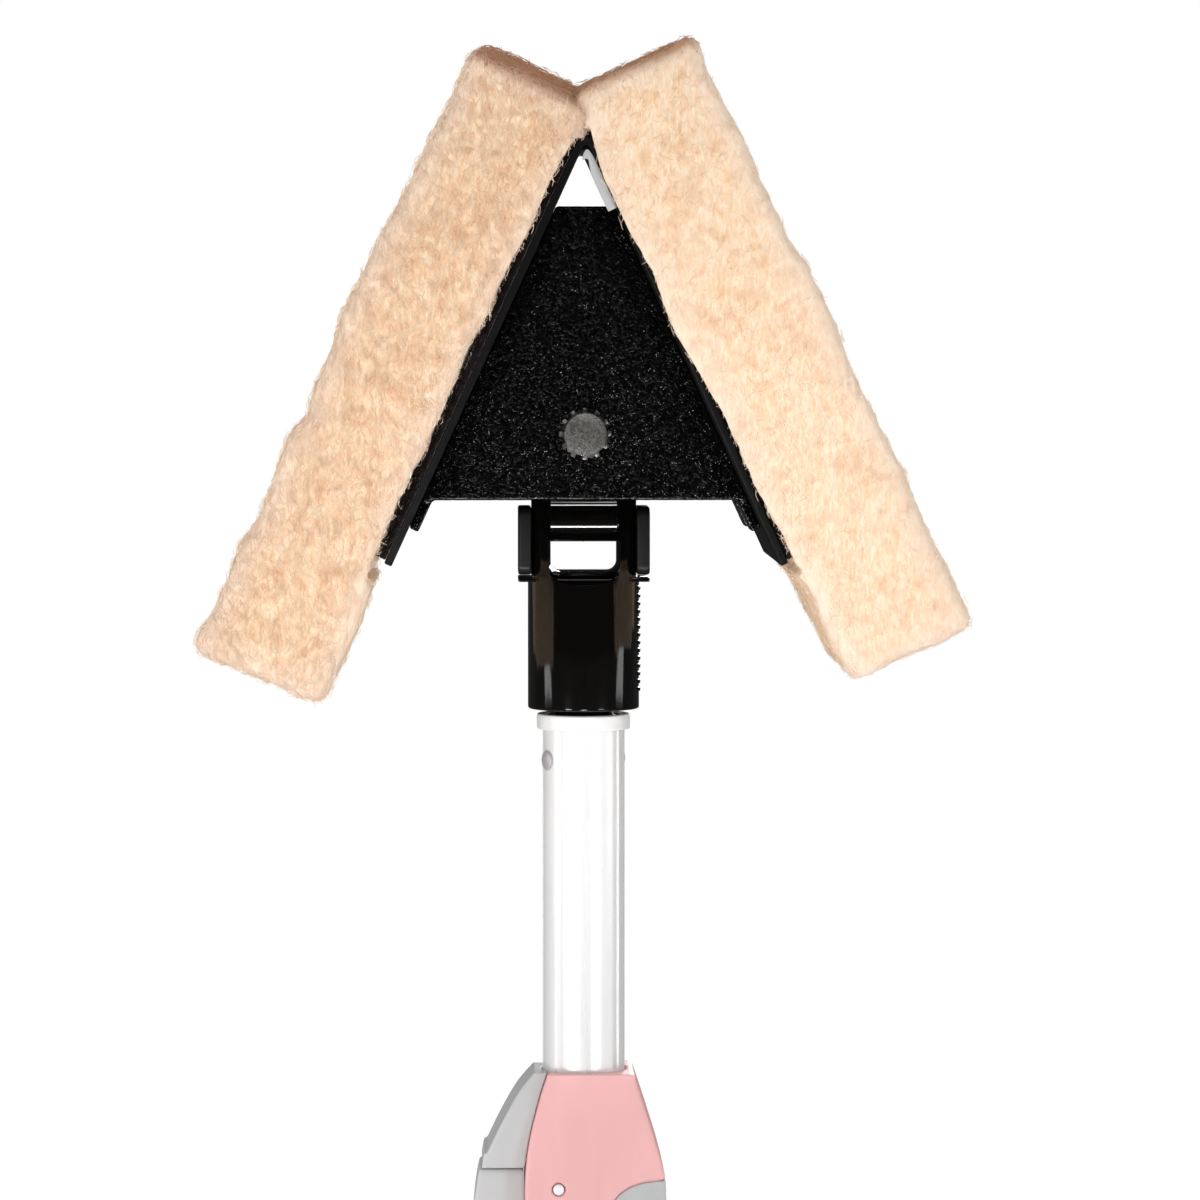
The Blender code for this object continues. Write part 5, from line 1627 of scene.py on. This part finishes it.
@dataclass(frozen=True)
class Clamp:
    """The moulded clamp: body, soft inset, shoulder cover, cam lever, pin and stud."""

    top: float = 0.3900
    bottom: float = 0.3020
    neck: float = 0.3723
    lever_half: float = 0.0125
    pin_x: float = -0.0245
    pin_z: float = 0.3120
    pin_radius: float = 0.0025
    stud_x: float = -0.0080
    stud_z: float = 0.3552
    cell: float = 0.00062

    def left_edge(self) -> list[Point2]:
        """The line between the body and the shoulder cover, from the top down."""
        return curve_through([(-0.0112, self.top), (-0.0136, 0.3830),
                              (-0.0163, 0.3728), (-0.0178, 0.3640), (-0.0184, 0.3555)], 6)

    def side_form(self) -> bpy.types.Object:
        """The body's outline from the side, run right through it."""
        half = curve_through([(0.0156, self.top), (0.0178, 0.3800), (0.0198, 0.3690),
                              (0.0205, 0.3560), (0.0205, 0.3300), (0.0196, 0.3140),
                              (0.0182, self.bottom)], 6)
        return prism("side_form", mirrored(half), -0.04, 0.04, "YZ")

    def shell(self, grow: float = 0.0) -> bpy.types.Object:
        """The plain rounded body, before anything is cut from it.

        Args:
            grow: How much bigger it is made to each side, in metres.

        Returns:
            The shell.
        """
        right = curve_through([(0.0153, self.top), (0.0199, 0.3758), (0.0238, 0.3627),
                               (0.0248, 0.3555), (0.0248, 0.3300), (0.0232, 0.3160),
                               (0.0198, 0.3065), (0.0188, self.bottom)], 6)
        outline = right + [(-0.0184, self.bottom)] + list(reversed(self.left_edge()))
        item = prism("clamp_shell", outline, -0.03, 0.03)
        cut(item, self.side_form(), 'INTERSECT')
        soften(item, 0.0015, 4, 34.0)
        item.data.transform(Matrix.Diagonal((1 + grow / 0.0248, 1 + grow / 0.0206,
                                             1 + grow / 0.9, 1.0)))
        return item

    def inset_form(self, grow: float) -> bpy.types.Object:
        """The region of the soft inset, which wraps round the right side.

        Args:
            grow: How much wider the region is made all round.

        Returns:
            A solid that covers the region.
        """
        upper = curve_through([(0.0062, 0.3440), (0.0082, 0.3506), (0.0115, 0.3546),
                               (0.0165, 0.3571), (0.0225, 0.3581), (0.0300, 0.3583)], 6)
        lower = curve_through([(0.0300, 0.3165), (0.0240, 0.3165), (0.0175, 0.3172),
                               (0.0110, 0.3196), (0.0072, 0.3240), (0.0062, 0.3300)], 6)
        middle = (0.0210, 0.3361)
        outline = []
        for x, z in upper + lower:
            reach = math.hypot(x - middle[0], z - middle[1])
            scale = 1.0 + grow / reach
            outline.append((middle[0] + (x - middle[0]) * scale,
                            middle[1] + (z - middle[1]) * scale))
        return prism("inset_form", outline, -0.03, 0.03)

    def bore(self, item: bpy.types.Object) -> bpy.types.Object:
        """Cut both tubes' bores from a clamp piece."""
        wide, slim = 0.0162, 0.0130
        tool = lathe("bore", [(0.0, 0.29), (wide, 0.29), (wide, self.neck), (slim, self.neck),
                              (slim, 0.41), (0.0, 0.41)], 96)
        return cut(item, tool)

    def pin_hole(self) -> bpy.types.Object:
        """The lever pin's hole."""
        return rod(self.pin_radius + GAP, -0.03, 0.03, 48,
                   along_y(self.pin_x, 0.0, self.pin_z))

    def body(self) -> bpy.types.Object:
        """The body, with its lugs, bores, stud hole and the inset's bed."""
        item = self.shell()
        lug = [(-0.0176, 0.3045), (-0.0176, 0.3220), (-0.0205, 0.3215)]
        lug += arc((self.pin_x, self.pin_z), 0.0052, 60, 250, 30)
        for sign in (-1, 1):
            near, far = sorted((sign * (self.lever_half + GAP),
                                sign * (self.lever_half + GAP + 0.0040)))
            cut(item, soften(prism("lug", lug, near, far), 0.0006, 2), 'UNION')
        self.bore(item)
        cut(item, self.pin_hole())
        cut(item, rod(0.0021, -0.03, -0.0178, 48, along_y(self.stud_x, 0.0, self.stud_z)))
        bed = self.inset_form(0.0)
        cut(bed, self.shell(-0.0012))
        cut(item, bed)
        return relax(remesh(item, self.cell), 2)

    def inset(self) -> bpy.types.Object:
        """The soft inset, standing a little proud of the body."""
        item = self.shell(0.0001)
        cut(item, self.inset_form(-0.0003), 'INTERSECT')
        cut(item, self.shell(-0.0009))
        return relax(remesh(item, 0.0004), 1)

    def shoulder(self) -> bpy.types.Object:
        """The cover above the lever, with a small step near its foot."""
        inner = [(x - 0.00015, z) for x, z in self.left_edge() if z > 0.3615]
        outer = curve_through([(-0.0298, 0.3662), (-0.0260, 0.3741), (-0.0206, 0.3838),
                               (-0.0156, self.top)], 5)
        outline = [*inner, (-0.0186, 0.3612), (-0.0317, 0.3612), (-0.0309, 0.3658),
                   (-0.0300, 0.3660), *outer]
        item = prism("shoulder", outline, -0.03, 0.03)
        half = curve_through([(0.0112, self.top + 0.002), (0.0118, 0.3895), (0.0150, 0.3800),
                              (0.0158, 0.3700), (0.0160, 0.3590)], 6)
        cut(item, prism("form", mirrored(half), -0.05, 0.01, "YZ"), 'INTERSECT')
        self.bore(item)
        return relax(remesh(item, 0.0004), 3)

    def lever(self) -> bpy.types.Object:
        """The cam lever, hinged at its foot, with low grip ribs on its back."""
        back = curve_through([(-0.0320, 0.3150), (-0.0338, 0.3300), (-0.0342, 0.3430),
                              (-0.0339, 0.3500), (-0.0330, 0.3568), (-0.0322, 0.3604)], 6)
        outline = [(-0.0187, 0.3604), (-0.0187, 0.3190)]
        outline += arc((self.pin_x, self.pin_z), 0.0056, -12, -150, 30) + back
        item = prism("lever", outline, -self.lever_half, self.lever_half)
        soften(item, 0.0016, 4, 25.0)
        cut(item, self.pin_hole())
        for step in range(5):
            z = 0.3270 + step * 0.0042
            cut(item, rod(0.0007, -0.0085, 0.0085, 24, along_y(-0.0342, 0.0, z)))
        return relax(remesh(item, 0.0004), 2)

    def build(self, finishes: Finishes) -> None:
        """Make the clamp."""
        lower = Rider.LOWER_POLE
        publish(self.body(), lower, finishes.pink, "pink_plastic", "clamp_body")
        publish(self.inset(), lower, finishes.soft_grey, "grey_soft", "clamp_inset")
        publish(self.shoulder(), lower, finishes.grey, "grey_plastic", "clamp_shoulder")
        publish(self.lever(), Rider.LEVER, finishes.grey, "grey_plastic", "cam_lever")
        reach = self.lever_half + 0.0040
        pin = lathe("lever_axle", [(0.0, -reach), (0.0021, -reach), (0.0025, -reach + 0.0004),
                                   (0.0025, reach - 0.0004), (0.0021, reach), (0.0, reach)], 48,
                    along_y(self.pin_x, 0.0, self.pin_z))
        publish(pin, lower, finishes.steel, "steel", "lever_pin")
        stud = lathe("stud", [(0.0, -0.0209), (0.0010, -0.0209), (0.0015, -0.0206),
                              (0.0017, -0.0202), (0.0017, -0.0183), (0.0, -0.0183)], 40,
                     along_y(self.stud_x, 0.0, self.stud_z))
        publish(stud, lower, finishes.stud, "steel", "clamp_stud")
        liner = lathe("liner", [(0.0130, 0.3590), (0.0141, 0.3590), (0.0141, 0.3710),
                                (0.0130, 0.3710)], 80)
        publish(liner, lower, finishes.satin_black, "inner_plastic", "clamp_liner")


@dataclass
class Stage:
    """Camera, lights, floor and background."""

    distance: float = 1.55
    camera_x: float = -0.029
    camera_z: float = 0.6169
    aim: tuple[float, float, float] = (0.0051, 0.0, 0.5352)
    lens: float = 150.9
    sensor: float = 36.0
    ambient: float = 0.34
    gloss: float = 0.015

    def camera(self) -> None:
        """Place the camera in front, a little to the left, looking slightly down."""
        data = bpy.data.cameras.new("camera")
        data.lens = self.lens
        data.sensor_width = self.sensor
        item = add_object("camera", data)
        item.location = (self.camera_x, -self.distance, self.camera_z)
        look = Vector(self.aim) - item.location
        item.rotation_euler = look.to_track_quat('-Z', 'Y').to_euler()
        bpy.context.scene.camera = item

    def light(self, name: str, place: tuple[float, float, float], power: float,
              size: tuple[float, float], aim: tuple[float, float, float] = (0.0, 0.0, 0.58),
              spread: float = 180.0) -> None:
        """One soft box.

        Args:
            name: The light's name.
            place: Where it stands.
            power: Its power in watts.
            size: Its width and height.
            aim: What it faces.
            spread: How wide its beam is, in degrees.
        """
        data = bpy.data.lights.new(name, 'AREA')
        data.spread = math.radians(spread)
        data.shape = 'RECTANGLE'
        data.size, data.size_y = size
        data.energy = power
        item = add_object(name, data)
        item.location = place
        item.rotation_euler = (Vector(aim) - Vector(place)).to_track_quat('-Z', 'Y').to_euler()

    def seen_as(self, nodes: bpy.types.Nodes, links: bpy.types.NodeLinks, camera: float,
                light: float, gloss: float) -> bpy.types.NodeSocket:
        """A strength that differs for the eye, for soft light and for reflections.

        Args:
            nodes: The node tree's nodes.
            links: The node tree's links.
            camera: The strength that the camera sees.
            light: The strength that lights matt surfaces.
            gloss: The strength that shows in reflections.

        Returns:
            The strength.
        """
        path = nodes.new("ShaderNodeLightPath")
        first, second = nodes.new("ShaderNodeMapRange"), nodes.new("ShaderNodeMapRange")
        first.inputs["To Min"].default_value = light
        first.inputs["To Max"].default_value = gloss
        second.inputs["To Max"].default_value = camera
        links.new(path.outputs["Is Glossy Ray"], first.inputs["Value"])
        links.new(first.outputs["Result"], second.inputs["To Min"])
        links.new(path.outputs["Is Camera Ray"], second.inputs["Value"])
        return second.outputs["Result"]

    def world(self) -> None:
        """A white background that lights the scene less than it shows."""
        world = bpy.data.worlds.new("studio")
        world.use_nodes = True
        nodes, links = world.node_tree.nodes, world.node_tree.links
        background = nodes["Background"]
        background.inputs["Color"].default_value = (1.0, 1.0, 1.0, 1.0)
        links.new(self.seen_as(nodes, links, 1.0, self.ambient, self.gloss),
                  background.inputs["Strength"])
        bpy.context.scene.world = world
        bpy.context.scene.view_settings.view_transform = 'Standard'

    def floor(self) -> None:
        """A plain pale floor under the pole's end cap."""
        bm = bmesh.new()
        bmesh.ops.create_grid(bm, x_segments=1, y_segments=1, size=8.0)
        bmesh.ops.translate(bm, vec=(0, 0, -0.0005), verts=bm.verts)
        item = piece_from(bm, "floor")
        recipe = Recipe("pale_floor")
        recipe.set(Base_Color=(0.12, 0.12, 0.12), Roughness=0.95, Specular_IOR_Level=0.0,
                   Emission_Color=(1.0, 1.0, 1.0))
        strength = self.seen_as(recipe.nodes, recipe.links, 0.97, self.ambient, self.gloss)
        recipe.links.new(strength, recipe.surface.inputs["Emission Strength"])
        item.data.materials.append(recipe.material)

    def build(self) -> None:
        """Set the whole stage, lit mostly from below and from both sides."""
        self.camera()
        self.world()
        self.light("low_left", (-0.62, -0.95, 0.10), 5.5, (0.24, 0.24))
        self.light("low_right", (0.68, -0.90, 0.12), 2.2, (0.24, 0.24))
        self.light("front_box", (0.1, -1.9, 1.75), 9.6, (1.2, 0.8))
        self.light("left_box", (-1.5, -0.3, 0.75), 5.0, (0.5, 1.0))
        self.light("right_box", (1.5, -0.3, 0.75), 4.8, (0.5, 1.0))
        self.light("rear_box", (0.5, 1.7, 0.9), 14.0, (0.9, 0.7))
        self.light("barrel_glint", (0.0, -0.62, 0.08), 0.045, (0.16, 0.08),
                   (0.0, 0.0, PIVOT_Z), 24.0)
        self.floor()


def main() -> None:
    """Build the stage and every piece, in order."""
    logging.basicConfig(level=logging.INFO, format="%(name)s %(message)s")
    Stage().build()
    finishes = Finishes()
    FibrePad("pad_left", 1, 0.0031, (-0.0014, 0.0066), 0.0016, LEFT_LIPS,
             LEFT_FACES).build(finishes)
    FibrePad("pad_right", 2, 0.0008, (0.0008, 0.0050), -0.0024, RIGHT_LIPS,
             RIGHT_FACES).build(finishes)
    VPlate().build(finishes)
    Bracket("front", 0.0).build(finishes)
    Bracket("rear", 5.0).build(finishes)
    PivotBolt().build(finishes)
    SwivelBlock().build(finishes)
    Fork().build(finishes)
    Pole().build(finishes)
    Clamp().build(finishes)


if __name__ == "__main__":
    main()
